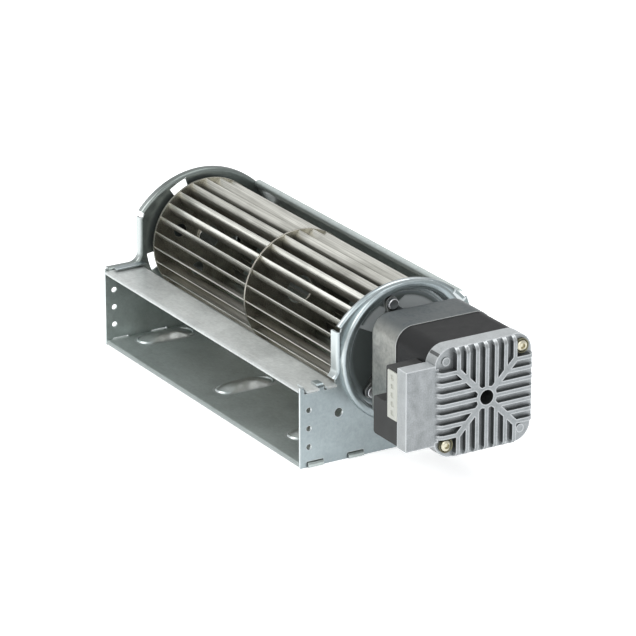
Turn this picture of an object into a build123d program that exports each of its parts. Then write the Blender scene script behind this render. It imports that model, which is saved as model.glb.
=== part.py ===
from build123d import *
import os
from math import cos, radians, sin

os.makedirs("parts", exist_ok=True)

# Cross flow fan: a folded sheet housing with a drum impeller between two end
# plates, driven by a square motor on the +X plate.
# X runs along the impeller axis, -Y is the side that the air leaves by, +Z is up.
# The origin is the middle of the underside of the front hem, where the fan rests.

# Sheet metal
sheet = 1.0
fold_radius = 0.8              # inside radius of the plate flanges
fold_reach = fold_radius + sheet
slot_clearance = 0.3

# Impeller
impeller_radius = 31.0
disc_thickness = 1.0
section_length = 90.0          # pitch of the three discs
blade_count = 24
blade_thickness = 0.5
blade_inner_radius = 24.3
blade_outer_radius = 30.4
blade_curve_radius = 6.9
blade_curve_angle = 61.0
blade_lead_angle = 6.8         # the inner edge leads the outer edge by this angle
blade_clearance = 0.03
balance_hole_radius = 3.5
balance_hole_circle = 17.0
centre_disc_bore = 7.0

# Places of the outlet, the axis and the plates
outlet_reach = 56.8            # from the axis forward to the outlet's front edge
axis_height = 48.5
hem_depth = 8.0
floor_height = 2.4             # top face of the duct floor
duct_height = 39.2             # top face of the outlet lip
bearing_end_gap = 2.8          # from the bearing side plate to the first disc
motor_end_gap = 4.2
impeller_length = 2 * section_length + disc_thickness
inner_width = bearing_end_gap + impeller_length + motor_end_gap
bearing_plate_x = -inner_width / 2
motor_plate_x = inner_width / 2
first_disc_x = bearing_plate_x + bearing_end_gap
motor_disc_x = first_disc_x + 2 * section_length
axis_y = outlet_reach - hem_depth / 2
outlet_front = -outlet_reach   # measured from the axis, as are all profiles below
ground = -axis_height
floor_top = floor_height - axis_height
lip_top = duct_height - axis_height

# Outline of the two end plates
plate_top = lip_top + 0.1 + sheet
corner_land = 2.2              # plain corner in front of the top flange
shoulder_reach = 36.5          # from the axis forward to the upright flange
shoulder_fillet = 5.0
upright_top = 15.6             # the upright flange ends this far above the axis
crown_radius = 46.0
crown_drop = 11.3              # centre of the crown below the axis
crown_start = 43.0
crown_end = 141.0
crown_relief = 0.5             # angle left free between the crown and the upright flange
crown_lip_gap = 8.0            # angle left free beside the scroll wall's curl
rear_margin = 0.5              # plate beyond the widest radius of the scroll
rear_shoulder = -2.0
rear_corner_radius = 25.0
rear_step = (36.2, 16.0)
bearing_flange = 4.0
motor_flange = 6.0
fixing_hole_radius = 1.4
fixing_hole_pitch = 9.2
fixing_hole_inset = 4.8
fixing_hole_height = 19.4      # middle hole, above the underside
cable_hole_radius = 2.25
cable_hole_place = (-35.8, -24.3)

# Scroll wall behind the impeller, in one sheet with the duct floor
scroll_low_radius = 41.0
scroll_low_angle = -25.0
scroll_lip_radius = 36.1
scroll_lip_angle = 33.7
curl_radius = 2.2
curl_angle = 165.0
bead_length = 32.0
bead_width = 12.0
bead_height = 1.8
bead_taper = 40.0
bead_middle = -28.5
bead_places = (-84.0, -5.0, 63.5)
floor_tab_width = 8.5
floor_tabs = (-48.7, -26.6)
rear_tab_height = 8.0
rear_tab_middle = -10.0
rear_tab_reach = 1.2           # beyond the plate's outer face
tab_standoff = 0.2
tab_ground_gap = 0.2

# Outlet lip
lip_hem_height = 2.2
lip_hem_depth = 6.0
lip_bend_radius = 3.0
lip_bend_start = -38.2
tongue_length = 6.5
tongue_angle = 45.0
lip_tabs = ((-50.9, 6.6), (-40.7, 5.4))
lip_tab_reach = 2.2            # beyond the plate's outer face
lip_slot_depth = 1.2           # open below each tab
lip_end_gap = 0.5              # clear of the motor side plate's fold

# Windows and bearing seat of the bearing side plate
window_outer_radius = 34.0
window_inner_radius = 28.0
window_span = 17.0
window_angles = (16.0, 117.0, 196.0, 297.0)
seat_radius = 22.0
seat_depth = 3.0
seat_hole_radius = 9.0
damper_flange_radius = 11.5
damper_outer_flange = 2.5
damper_inner_flange = 1.6
bush_radius = 5.0
bush_length = 7.5
bush_proud = 0.6               # inside the plate's inner face
running_clearance = 0.05
stub_radius = 2.5
stub_shoulder_radius = 4.0
stub_rivet_radius = 6.0
stub_rivet_thickness = 1.5
stub_end = 1.0                 # beyond the bush
washer_radius = 4.6
washer_thickness = 0.5
washer_clearance = 0.2

# Ring bead and recess of the motor side plate
ring_outer_radius = 33.8       # its outer wall runs into the fold of the crown
ring_inner_radius = 29.3
ring_height = 2.9
recess_fillet = 0.8
ring_crest_fillet = 1.8
recess_depth = 3.0
recess_opening_radius = 13.0

# Motor
motor_width = 52.3             # along Y
motor_height = 53.3            # along Z
motor_corner_radius = 9.0
motor_gap = 11.7               # from the plate to the front shield
shield_length = 22.5
stack_length = 25.2
stack_inset = 0.4
cover_length = 11.2
cover_edge_radius = 3.5
cavity_radius = 22.0
shield_face = 5.0
shield_edge_radius = 3.0
bearing_boss_wall = 3.0
stator_bore_radius = 14.2
magnet_radius = 13.7
magnet_inset = 2.5
winding_inner_radius = 15.2
winding_outer_radius = 21.0
front_winding_reach = 6.5
rear_winding_reach = 2.8
stator_slots = 6
stator_slot_radius = 2.9
winding_play = 0.1
shaft_radius = 3.0
bearing_radius = 6.5
bearing_width = 5.0
bearing_groove = 2.2           # recessed cover plate between the rings
bearing_groove_depth = 0.4
rear_bearing_depth = 3.5       # pocket in the rear cover
shaft_hole_radius = 3.6
leg_angles = (105.0, 225.0, 345.0)
leg_radius = 20.0
leg_width = 8.0
leg_depth = 4.0
leg_corner_radius = 1.5
foot_screw_radius = 25.2
foot_thickness = 2.5
foot_end_radius = 3.2
mount_screw_radius = 1.5
mount_head_radius = 2.8
mount_head_height = 2.0
mount_screw_tip = 0.4          # beyond the recess floor

# Ribbed rear cover and its screws
rib_pitch = 5.1
rib_width = 1.95
groove_depth = 2.5
diagonal_rib = 3.0
hub_ring_radius = 7.6
pad_drop = 3.4                 # below the rib tops
pad_boss_radius = 2.1
pad_boss_height = 0.6
cover_screw_inset = 5.82       # from the motor's side faces
cover_screw_radius = 1.75
cover_head_radius = 3.25
cover_head_height = 1.9
pad_margin = 0.8               # flat pad inside the screw head
drive_radius = 1.3
drive_depth = 1.0
cover_pocket_depth = 3.2       # room for the rear winding
screw_depth_in_shield = 12.0

# Electronics box beside the motor
box_reach = 41.9               # from the axis forward to its front face
box_bottom = -19.5
box_top = 19.3
lid_thickness = 7.4
lid_below_ribs = 2.5
lid_wall = 1.5
case_length = 20.8             # lower block of the plastic case, along X
case_neck = 10.1               # upper part, around the plug header
case_inset = 0.4               # behind the lid's front and bottom faces
case_below_lid = 1.4           # from the lid's top face
case_step = -0.5
case_corner_radius = 1.5
header_bottom = -6.9
header_top = 16.3
header_width = 8.1
header_depth = 8.0
header_proud = 0.3
header_end_radius = 3.0
pin_count = 5
pin_pitch = 4.3
socket_radius = 1.25
socket_depth = 6.0
pin_radius = 0.5
pin_length = 5.0
board_thickness = 1.6
board_margin = 0.5

# Hub of the impeller
hub_radius = 8.0
hub_length = 12.0
hub_flange_radius = 12.0
hub_flange_thickness = 2.0
set_screw_radius = 1.5
set_screw_place = 4.0          # from the hub's free end
set_screw_drive = 0.8

# Places along the axis that follow from the sizes above
plate_outer_x = motor_plate_x + sheet
recess_outer_x = plate_outer_x - recess_depth
shield_x = plate_outer_x + motor_gap
stack_x = shield_x + shield_length
cover_x = stack_x + stack_length
rib_top_x = cover_x + cover_length
pad_x = rib_top_x - pad_drop
lid_face_x = rib_top_x - lid_below_ribs
lid_x = lid_face_x - lid_thickness
seat_x = bearing_plate_x - seat_depth
rear_reach = scroll_low_radius + rear_margin

# Places in the motor's section that follow from its width
cover_screw_pitch = motor_width - 2 * cover_screw_inset
corner_pad = cover_screw_pitch / 2 - cover_head_radius - pad_margin


def across(x):
    """Plane across the impeller axis at x: local X is +Y and local Y is +Z."""
    return Plane(origin=(x, axis_y, axis_height), x_dir=(0, 1, 0), z_dir=(1, 0, 0))


def radial(x, angle, drop=0):
    """Plane through a centre at or below the axis: local X points out, local Y is -X."""
    out = (0, cos(radians(angle)), sin(radians(angle)))
    turn = (0, -sin(radians(angle)), cos(radians(angle)))
    return Plane(origin=(x, axis_y, axis_height - drop), x_dir=out, z_dir=turn)


def outward(side, y, z):
    """Plane at a plate's inner face: local X leaves the housing, local Y is +Z."""
    origin = (side * motor_plate_x, axis_y + y, axis_height + z)
    return Plane(origin=origin, x_dir=(side, 0, 0), z_dir=(0, -side, 0))


def polar_point(radius, angle, drop=0):
    return (radius * cos(radians(angle)), radius * sin(radians(angle)) - drop)


impeller_axis = Axis((0, axis_y, axis_height), (1, 0, 0))
crown_axis = Axis((0, axis_y, axis_height - crown_drop), (1, 0, 0))


# Impeller blades and discs
def blade_profile(clearance):
    """Section of one blade, curved forward, with its tip at angle zero."""
    half = blade_thickness / 2 + clearance
    inner = blade_inner_radius - clearance
    turn = -(blade_curve_angle + 10 * clearance)
    with BuildSketch() as profile:
        with BuildLine(Plane.XY.rotated((0, 0, blade_lead_angle))):
            hollow = JernArc((inner, -half), (1, 0), blade_curve_radius - half, turn)
            back = JernArc((inner, half), (1, 0), blade_curve_radius + half, turn)
            Line(hollow @ 0, back @ 0)
            Line(hollow @ 1, back @ 1)
        make_face()
    return profile.sketch


blade = blade_profile(0)
blade_slot = blade_profile(blade_clearance)

with BuildPart() as impeller_blades:
    with BuildSketch(across(first_disc_x)):
        with PolarLocations(0, blade_count):
            add(blade)
    extrude(amount=impeller_length)


def slotted_disc(x, bore_radius):
    """Disc across the impeller at x, with a slot for each blade."""
    with BuildPart() as disc:
        with BuildSketch(across(x)):
            Circle(impeller_radius)
            Circle(bore_radius, mode=Mode.SUBTRACT)
            with PolarLocations(0, blade_count):
                add(blade_slot, mode=Mode.SUBTRACT)
        extrude(amount=disc_thickness)
    return disc


free_end_disc = slotted_disc(first_disc_x, stub_radius)

with BuildPart() as impeller_bearing_disc:
    add(free_end_disc.part)
    with BuildSketch(across(first_disc_x)):
        with PolarLocations(balance_hole_circle, 4, start_angle=69):
            Circle(balance_hole_radius)
    extrude(amount=disc_thickness, mode=Mode.SUBTRACT)

impeller_centre_disc = slotted_disc(first_disc_x + section_length, centre_disc_bore)
impeller_motor_disc = slotted_disc(motor_disc_x, shaft_radius)


# Sections of the folded sheets, all in the plane across the axis
def wall_profile():
    """Scroll wall: hem, duct floor, two tangent arcs behind the impeller and a curl."""
    hem_radius = floor_height / 2
    scroll_low = polar_point(scroll_low_radius, scroll_low_angle)
    scroll_lip = polar_point(scroll_lip_radius, scroll_lip_angle)
    with BuildSketch() as profile:
        with BuildLine():
            hem = Line((outlet_front + hem_depth, ground), (outlet_front + hem_radius, ground))
            nose = JernArc(hem @ 1, hem % 1, hem_radius, -180)
            floor = Line(nose @ 1, (0, floor_top))
            low = TangentArc(floor @ 1, scroll_low, tangent=floor % 1)
            high = TangentArc(low @ 1, scroll_lip, tangent=low % 1)
            JernArc(high @ 1, high % 1, curl_radius, -curl_angle)
            offset(amount=sheet, side=Side.RIGHT)
        make_face()
    return profile.sketch


def lip_profile():
    """Outlet lip: a hem, a flat top and a tongue that drops towards the impeller."""
    hem_radius = lip_hem_height / 2
    lip_bottom = lip_top - lip_hem_height
    with BuildSketch() as profile:
        with BuildLine():
            hem = Line((outlet_front + lip_hem_depth, lip_bottom), (outlet_front + hem_radius, lip_bottom))
            nose = JernArc(hem @ 1, hem % 1, hem_radius, -180)
            top = Line(nose @ 1, (lip_bend_start, lip_top))
            bend = JernArc(top @ 1, top % 1, lip_bend_radius, -tongue_angle)
            PolarLine(bend @ 1, tongue_length, -tongue_angle)
            offset(amount=sheet, side=Side.RIGHT)
        make_face()
    return profile.sketch


def tab_profile(tabs, top):
    """Flat tabs in the thickness of a sheet whose top face is at the height top."""
    with BuildSketch() as profile:
        for y, width in tabs:
            with Locations((y, top - sheet / 2)):
                Rectangle(width, sheet)
    return profile.sketch


def rear_tab_profile():
    """Part of the rear wall's section that passes through the end plates."""
    with BuildSketch() as profile:
        add(wall_section)
        with Locations((scroll_low_radius, rear_tab_middle)):
            Rectangle(scroll_low_radius, rear_tab_height, mode=Mode.INTERSECT)
    return profile.sketch


wall_section = wall_profile()
lip_section = lip_profile()
floor_tab_section = tab_profile([(y, floor_tab_width) for y in floor_tabs], floor_top)
lip_tab_section = tab_profile(lip_tabs, lip_top)
rear_tab_section = rear_tab_profile()


# End plates
def flange_section(width):
    """Section of a folded edge: local X points out to its outer face at zero."""
    with BuildSketch() as section:
        with BuildLine():
            outer = JernArc((-fold_reach, 0), (1, 0), fold_reach, 90)
            edge = Polyline(outer @ 1, (0, width), (-sheet, width), (-sheet, fold_reach))
            inner = JernArc(edge @ 1, (0, -1), fold_radius, -90)
            Line(inner @ 1, outer @ 0)
        make_face()
    return section.sketch


def plate_outline():
    """Flat web of an end plate, inside its folded edges."""
    flat_top = plate_top - fold_reach
    flat_front = fold_reach - shoulder_reach
    land = outlet_front + corner_land
    with BuildSketch() as outline:
        with BuildLine():
            Polyline((outlet_front, ground), (outlet_front, plate_top), (land, plate_top), (land, flat_top))
            upright = FilletPolyline(
                (land, flat_top),
                (flat_front, flat_top),
                (flat_front, upright_top),
                radius=shoulder_fillet + fold_reach,
            )
            crown = CenterArc((0, -crown_drop), crown_radius - fold_reach, crown_end, crown_start - crown_end)
            Line(upright @ 1, crown @ 0)
            Polyline(crown @ 1, polar_point(crown_radius + fold_radius, crown_start - 1, crown_drop), rear_step)
            TangentArc((rear_reach, rear_shoulder), rear_step, tangent=(0, 1))
            FilletPolyline(
                (rear_reach, rear_shoulder),
                (rear_reach, ground),
                (outlet_front, ground),
                radius=rear_corner_radius,
            )
        make_face()
    return outline.sketch


web_section = plate_outline()
floor_slots = offset(floor_tab_section, slot_clearance)
rear_slot = offset(rear_tab_section, slot_clearance)


def end_plate(x, face_x, flange_width, crown_gap):
    """Plate from x outwards, with edges that are folded towards -X from face_x."""
    start = across(face_x).from_local_coords((outlet_front + corner_land, plate_top))
    section = flange_section(flange_width)
    with BuildPart() as plate:
        with BuildSketch(across(x)):
            add(web_section)
            with Locations((0, slot_clearance)):
                add(floor_slots, mode=Mode.SUBTRACT)
            add(rear_slot, mode=Mode.SUBTRACT)
            with Locations((outlet_front + fixing_hole_inset, ground + fixing_hole_height)):
                with GridLocations(0, fixing_hole_pitch, 1, 3):
                    Circle(fixing_hole_radius, mode=Mode.SUBTRACT)
        extrude(amount=sheet)
        with BuildLine(across(face_x)) as fold_line:
            FilletPolyline(
                (outlet_front + corner_land, plate_top),
                (-shoulder_reach, plate_top),
                (-shoulder_reach, upright_top - crown_relief),
                radius=shoulder_fillet,
            )
        with BuildSketch(Plane(origin=start, x_dir=(0, 0, 1), z_dir=(0, -1, 0))):
            add(section)
        sweep(path=fold_line.line)
        with BuildSketch(radial(face_x, crown_start + crown_gap, crown_drop)):
            with Locations((crown_radius, 0)):
                add(section)
        revolve(axis=crown_axis, revolution_arc=crown_end - crown_start - crown_relief - crown_gap)
    return plate


def window_profile():
    """One window of the bearing side plate: a piece of a ring about angle zero."""
    y, z = polar_point(2 * window_outer_radius, window_span / 2)
    with BuildSketch() as profile:
        Circle(window_outer_radius)
        Circle(window_inner_radius, mode=Mode.SUBTRACT)
        Polygon((0, 0), (y, -z), (y, z), align=None, mode=Mode.INTERSECT)
    return profile.sketch


window = window_profile()
bearing_plate_blank = end_plate(bearing_plate_x - sheet, bearing_plate_x, bearing_flange, 0)
motor_plate_blank = end_plate(motor_plate_x, plate_outer_x, motor_flange, crown_lip_gap)

with BuildPart() as bearing_side_plate:
    add(bearing_plate_blank.part)
    with BuildSketch(across(bearing_plate_x)):
        Circle(seat_radius)
        for angle in window_angles:
            with PolarLocations(0, 1, start_angle=angle):
                add(window)
    extrude(amount=-sheet, mode=Mode.SUBTRACT)
    dish_edge = seat_radius - 1.2 * fold_reach
    with BuildSketch(radial(bearing_plate_x, 0)):
        with BuildLine():
            FilletPolyline(
                (seat_radius, 0),
                (dish_edge, 0),
                (dish_edge - seat_depth / 2, seat_depth),
                (seat_hole_radius, seat_depth),
                radius=(fold_reach, fold_radius),
            )
            offset(amount=sheet, side=Side.RIGHT)
        make_face()
    revolve(axis=impeller_axis)

with BuildPart() as motor_side_plate:
    add(motor_plate_blank.part)
    notch_bottom = lip_top - sheet - lip_slot_depth
    notch_height = plate_top + sheet - notch_bottom
    with BuildSketch(across(plate_outer_x)):
        for y, width in lip_tabs:
            with Locations((y, notch_bottom + notch_height / 2)):
                Rectangle(width + 2 * slot_clearance, notch_height)
    extrude(amount=-(motor_flange + sheet), mode=Mode.SUBTRACT)
    with BuildSketch(across(plate_outer_x)):
        Circle(ring_outer_radius - sheet / 2)
        with Locations(cable_hole_place):
            Circle(cable_hole_radius)
    extrude(amount=-sheet, mode=Mode.SUBTRACT)
    with BuildSketch(radial(plate_outer_x, 0)):
        with BuildLine():
            face = FilletPolyline(
                (ring_outer_radius, sheet),
                (ring_outer_radius, -ring_height),
                (ring_inner_radius, -ring_height),
                (ring_inner_radius, recess_depth),
                (recess_opening_radius, recess_depth),
                radius=(ring_crest_fillet, ring_crest_fillet, recess_fillet),
            )
            back = FilletPolyline(
                (ring_outer_radius - sheet, sheet),
                (ring_outer_radius - sheet, sheet - ring_height),
                (ring_inner_radius + sheet, sheet - ring_height),
                (ring_inner_radius + sheet, recess_depth + sheet),
                (recess_opening_radius, recess_depth + sheet),
                radius=(ring_crest_fillet - sheet, ring_crest_fillet - sheet, recess_fillet + sheet),
            )
            Line(face @ 0, back @ 0)
            Line(face @ 1, back @ 1)
        make_face()
    revolve(axis=impeller_axis)
    with BuildSketch(across(recess_outer_x)):
        with PolarLocations(foot_screw_radius, len(leg_angles), start_angle=leg_angles[0]):
            Circle(mount_screw_radius)
    extrude(amount=-sheet, mode=Mode.SUBTRACT)


# Scroll wall and lip
def bead_shape(shrink):
    """Tapered raised bead of the floor, with its foot smaller by shrink on every side."""
    with BuildPart() as bead:
        with BuildSketch():
            SlotOverall(bead_length - 2 * shrink, bead_width - 2 * shrink, rotation=90)
        extrude(amount=bead_height, taper=bead_taper)
    return bead.part


bead_inset = sheet * (1 - sin(radians(bead_taper))) / cos(radians(bead_taper))
bead_outside = bead_shape(0)
bead_inside = bead_shape(bead_inset)

with BuildPart() as scroll_wall:
    with BuildSketch(across(bearing_plate_x)):
        add(wall_section)
    extrude(amount=inner_width)
    for x in bead_places:
        with Locations((x, axis_y + bead_middle, floor_height)):
            add(bead_outside)
        with Locations((x, axis_y + bead_middle, floor_height - sheet)):
            add(bead_inside, mode=Mode.SUBTRACT)
    for side in (-1, 1):
        for y in floor_tabs:
            with BuildSketch(outward(side, y, floor_top)):
                with BuildLine():
                    FilletPolyline(
                        (0, 0),
                        (2 * sheet + tab_standoff, 0),
                        (2 * sheet + tab_standoff, tab_ground_gap - floor_height),
                        radius=1.1 * sheet,
                    )
                    offset(amount=sheet, side=Side.RIGHT)
                make_face()
            extrude(amount=floor_tab_width / 2, both=True)
    with BuildSketch(across(bearing_plate_x - sheet - rear_tab_reach)):
        add(rear_tab_section)
    extrude(amount=inner_width + 2 * (sheet + rear_tab_reach))

with BuildPart() as outlet_lip:
    with BuildSketch(across(bearing_plate_x)):
        add(lip_section)
    extrude(amount=inner_width - lip_end_gap)
    with BuildSketch(across(motor_plate_x - lip_end_gap)):
        add(lip_tab_section)
    extrude(amount=lip_end_gap + sheet + lip_tab_reach)


# Bearing of the free end
bush_end = bearing_plate_x + bush_proud
washer_end = bush_end + washer_thickness
damper_x = seat_x - sheet - damper_outer_flange
damper_length = damper_outer_flange + sheet + damper_inner_flange
stub_start = bush_end - bush_length - stub_end

with BuildPart() as bearing_damper:
    with BuildSketch(across(damper_x)):
        Circle(damper_flange_radius)
    extrude(amount=damper_outer_flange)
    with BuildSketch(across(seat_x - sheet)):
        Circle(seat_hole_radius)
    extrude(amount=sheet)
    with BuildSketch(across(seat_x)):
        Circle(damper_flange_radius)
    extrude(amount=damper_inner_flange)
    chamfer(bearing_damper.edges().group_by(Axis.X)[0], length=0.7)
    with BuildSketch(across(damper_x)):
        Circle(bush_radius)
    extrude(amount=damper_length, mode=Mode.SUBTRACT)

with BuildPart() as bearing_bush:
    with BuildSketch(across(bush_end - bush_length)):
        Circle(bush_radius)
    extrude(amount=bush_length)
    chamfer(bearing_bush.edges().filter_by(GeomType.CIRCLE), length=0.4)
    with BuildSketch(across(bush_end)):
        Circle(stub_radius + running_clearance)
    extrude(amount=-bush_length, mode=Mode.SUBTRACT)

with BuildPart() as thrust_washer:
    with BuildSketch(across(bush_end)):
        Circle(washer_radius)
        Circle(stub_radius + running_clearance, mode=Mode.SUBTRACT)
    extrude(amount=washer_thickness)

with BuildPart() as stub_shaft:
    with BuildSketch(across(stub_start)):
        Circle(stub_radius)
    extrude(amount=first_disc_x + disc_thickness - stub_start)
    chamfer(stub_shaft.edges().group_by(Axis.X)[0], length=0.5)
    with BuildSketch(across(first_disc_x)):
        Circle(stub_shoulder_radius)
    extrude(amount=washer_end + washer_clearance - first_disc_x)
    with BuildSketch(across(first_disc_x + disc_thickness)):
        Circle(stub_rivet_radius)
    extrude(amount=stub_rivet_thickness)


# Hub and shaft of the driven end
hub_x = motor_disc_x - hub_length
shaft_end = cover_x + rear_bearing_depth

with BuildPart() as impeller_hub:
    with BuildSketch(across(hub_x)):
        Circle(hub_radius)
    extrude(amount=hub_length)
    chamfer(impeller_hub.edges().group_by(Axis.X)[0], length=0.8)
    with BuildSketch(across(motor_disc_x - hub_flange_thickness)):
        Circle(hub_flange_radius)
    extrude(amount=hub_flange_thickness)
    with BuildSketch(across(hub_x)):
        Circle(shaft_radius)
    extrude(amount=hub_length, mode=Mode.SUBTRACT)
    with BuildSketch(Plane.XY.offset(axis_height)):
        with Locations((hub_x + set_screw_place, axis_y)):
            Circle(set_screw_radius)
    extrude(amount=hub_radius, mode=Mode.SUBTRACT)

with BuildPart() as hub_set_screw:
    with BuildSketch(Plane.XY.offset(axis_height + shaft_radius)):
        with Locations((hub_x + set_screw_place, axis_y)):
            Circle(set_screw_radius)
    extrude(amount=hub_radius - shaft_radius)
    with BuildSketch(Plane.XY.offset(axis_height + hub_radius)):
        with Locations((hub_x + set_screw_place, axis_y)):
            RegularPolygon(set_screw_drive, 6)
    extrude(amount=-drive_depth, mode=Mode.SUBTRACT)

with BuildPart() as motor_shaft:
    with BuildSketch(across(hub_x)):
        Circle(shaft_radius)
    extrude(amount=shaft_end - hub_x)
    chamfer(motor_shaft.edges().filter_by(GeomType.CIRCLE), length=0.4)

with BuildPart() as magnet_rotor:
    with BuildSketch(across(stack_x + magnet_inset)):
        Circle(magnet_radius)
    extrude(amount=stack_length - 2 * magnet_inset)
    chamfer(magnet_rotor.edges().filter_by(GeomType.CIRCLE), length=0.6)
    with BuildSketch(across(stack_x)):
        Circle(shaft_radius)
    extrude(amount=stack_length, mode=Mode.SUBTRACT)


def ball_bearing(x):
    """Shielded ball bearing that starts at x on the shaft."""
    groove_radius = (shaft_radius + bearing_radius) / 2
    with BuildPart() as bearing:
        with BuildSketch(across(x)):
            Circle(bearing_radius)
            Circle(shaft_radius + running_clearance, mode=Mode.SUBTRACT)
        extrude(amount=bearing_width)
        with BuildSketch(across(x), across(x + bearing_width - bearing_groove_depth)):
            Circle(groove_radius + bearing_groove / 2)
            Circle(groove_radius - bearing_groove / 2, mode=Mode.SUBTRACT)
        extrude(amount=bearing_groove_depth, mode=Mode.SUBTRACT)
    return bearing


front_bearing = ball_bearing(shield_x + shield_face)
rear_bearing = ball_bearing(shaft_end - bearing_width)


# Motor
def motor_section(inset):
    """Rounded section of the motor across the axis, smaller by inset on every side."""
    with BuildSketch() as section:
        RectangleRounded(motor_width - 2 * inset, motor_height - 2 * inset, motor_corner_radius - inset)
    return section.sketch


body_section = motor_section(0)
stack_section = motor_section(stack_inset)
cover_screw_places = (
    (cover_screw_pitch / 2, cover_screw_pitch / 2),
    (-cover_screw_pitch / 2, -cover_screw_pitch / 2),
)
winding_radius = (winding_inner_radius + winding_outer_radius) / 2

with BuildPart() as motor_front_shield:
    with BuildSketch(across(shield_x)):
        add(body_section)
    extrude(amount=shield_length)
    fillet(motor_front_shield.faces().sort_by(Axis.X)[0].edges(), radius=shield_edge_radius)
    with BuildSketch(across(stack_x)):
        Circle(cavity_radius)
    extrude(amount=shield_face - shield_length, mode=Mode.SUBTRACT)
    with BuildSketch(across(shield_x + shield_face)):
        Circle(bearing_radius + bearing_boss_wall)
        Circle(bearing_radius, mode=Mode.SUBTRACT)
    extrude(amount=bearing_width)
    with BuildSketch(across(shield_x)):
        Circle(shaft_hole_radius)
    extrude(amount=shield_face, mode=Mode.SUBTRACT)
    with BuildSketch(across(recess_outer_x)):
        with PolarLocations(leg_radius, len(leg_angles), start_angle=leg_angles[0]):
            RectangleRounded(leg_depth, leg_width, leg_corner_radius)
    extrude(amount=shield_x + shield_edge_radius - recess_outer_x)
    with BuildSketch(across(recess_outer_x)):
        with PolarLocations((leg_radius + foot_screw_radius) / 2, len(leg_angles), start_angle=leg_angles[0]):
            Rectangle(foot_screw_radius - leg_radius, 2 * foot_end_radius)
        with PolarLocations(foot_screw_radius, len(leg_angles), start_angle=leg_angles[0]):
            Circle(foot_end_radius)
    extrude(amount=foot_thickness)
    with BuildSketch(across(recess_outer_x)):
        with PolarLocations(foot_screw_radius, len(leg_angles), start_angle=leg_angles[0]):
            Circle(mount_screw_radius + slot_clearance)
    extrude(amount=foot_thickness, mode=Mode.SUBTRACT)
    with BuildSketch(across(stack_x)):
        with Locations(*cover_screw_places):
            Circle(cover_screw_radius)
    extrude(amount=-screw_depth_in_shield, mode=Mode.SUBTRACT)

with BuildPart() as mount_screws:
    with BuildSketch(across(recess_outer_x - sheet - mount_screw_tip)):
        with PolarLocations(foot_screw_radius, len(leg_angles), start_angle=leg_angles[0]):
            Circle(mount_screw_radius)
    extrude(amount=mount_screw_tip + sheet + foot_thickness)
    with BuildSketch(across(recess_outer_x + foot_thickness)):
        with PolarLocations(foot_screw_radius, len(leg_angles), start_angle=leg_angles[0]):
            Circle(mount_head_radius)
    extrude(amount=mount_head_height)
    chamfer(mount_screws.edges().group_by(Axis.X)[-1], length=0.5)

with BuildPart() as stator_stack:
    with BuildSketch(across(stack_x)):
        add(stack_section)
        Circle(stator_bore_radius, mode=Mode.SUBTRACT)
        with PolarLocations(winding_radius, stator_slots):
            Circle(stator_slot_radius, mode=Mode.SUBTRACT)
        with Locations(*cover_screw_places):
            Circle(cover_screw_radius + slot_clearance, mode=Mode.SUBTRACT)
    extrude(amount=stack_length)

with BuildPart() as stator_windings:
    with BuildSketch(across(stack_x)):
        Circle(winding_outer_radius)
        Circle(winding_inner_radius, mode=Mode.SUBTRACT)
    extrude(amount=-front_winding_reach)
    with BuildSketch(across(cover_x)):
        Circle(winding_outer_radius)
        Circle(winding_inner_radius, mode=Mode.SUBTRACT)
    extrude(amount=rear_winding_reach)
    with BuildSketch(across(stack_x)):
        with PolarLocations(winding_radius, stator_slots):
            Circle(stator_slot_radius - winding_play)
    extrude(amount=stack_length)


# Rear cover with the lid of the electronics
def groove_sector():
    """Grooves of one quarter of the cover, which run out of its +Y edge."""
    reach = motor_height
    first_groove = -2.5 * rib_pitch
    groove_width = rib_pitch - rib_width
    with BuildSketch() as sector:
        for index in range(6):
            with Locations((reach / 2, first_groove + index * rib_pitch)):
                Rectangle(reach, groove_width)
        diagonal_half = diagonal_rib / 2 * 2**0.5
        Polygon(
            (diagonal_half, 0),
            (reach + diagonal_half, -reach),
            (reach + diagonal_half, reach),
            align=None,
            mode=Mode.INTERSECT,
        )
        Circle(hub_ring_radius, mode=Mode.SUBTRACT)
    return sector.sketch


grooves = groove_sector()
pad_size = motor_height / 2
pad_middle = corner_pad + pad_size / 2
lid_middle = (box_top + box_bottom) / 2
lid_height = box_top - box_bottom
lid_width = box_reach - motor_width / 2
lid_place = (-(box_reach + motor_width / 2) / 2, lid_middle)

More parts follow.
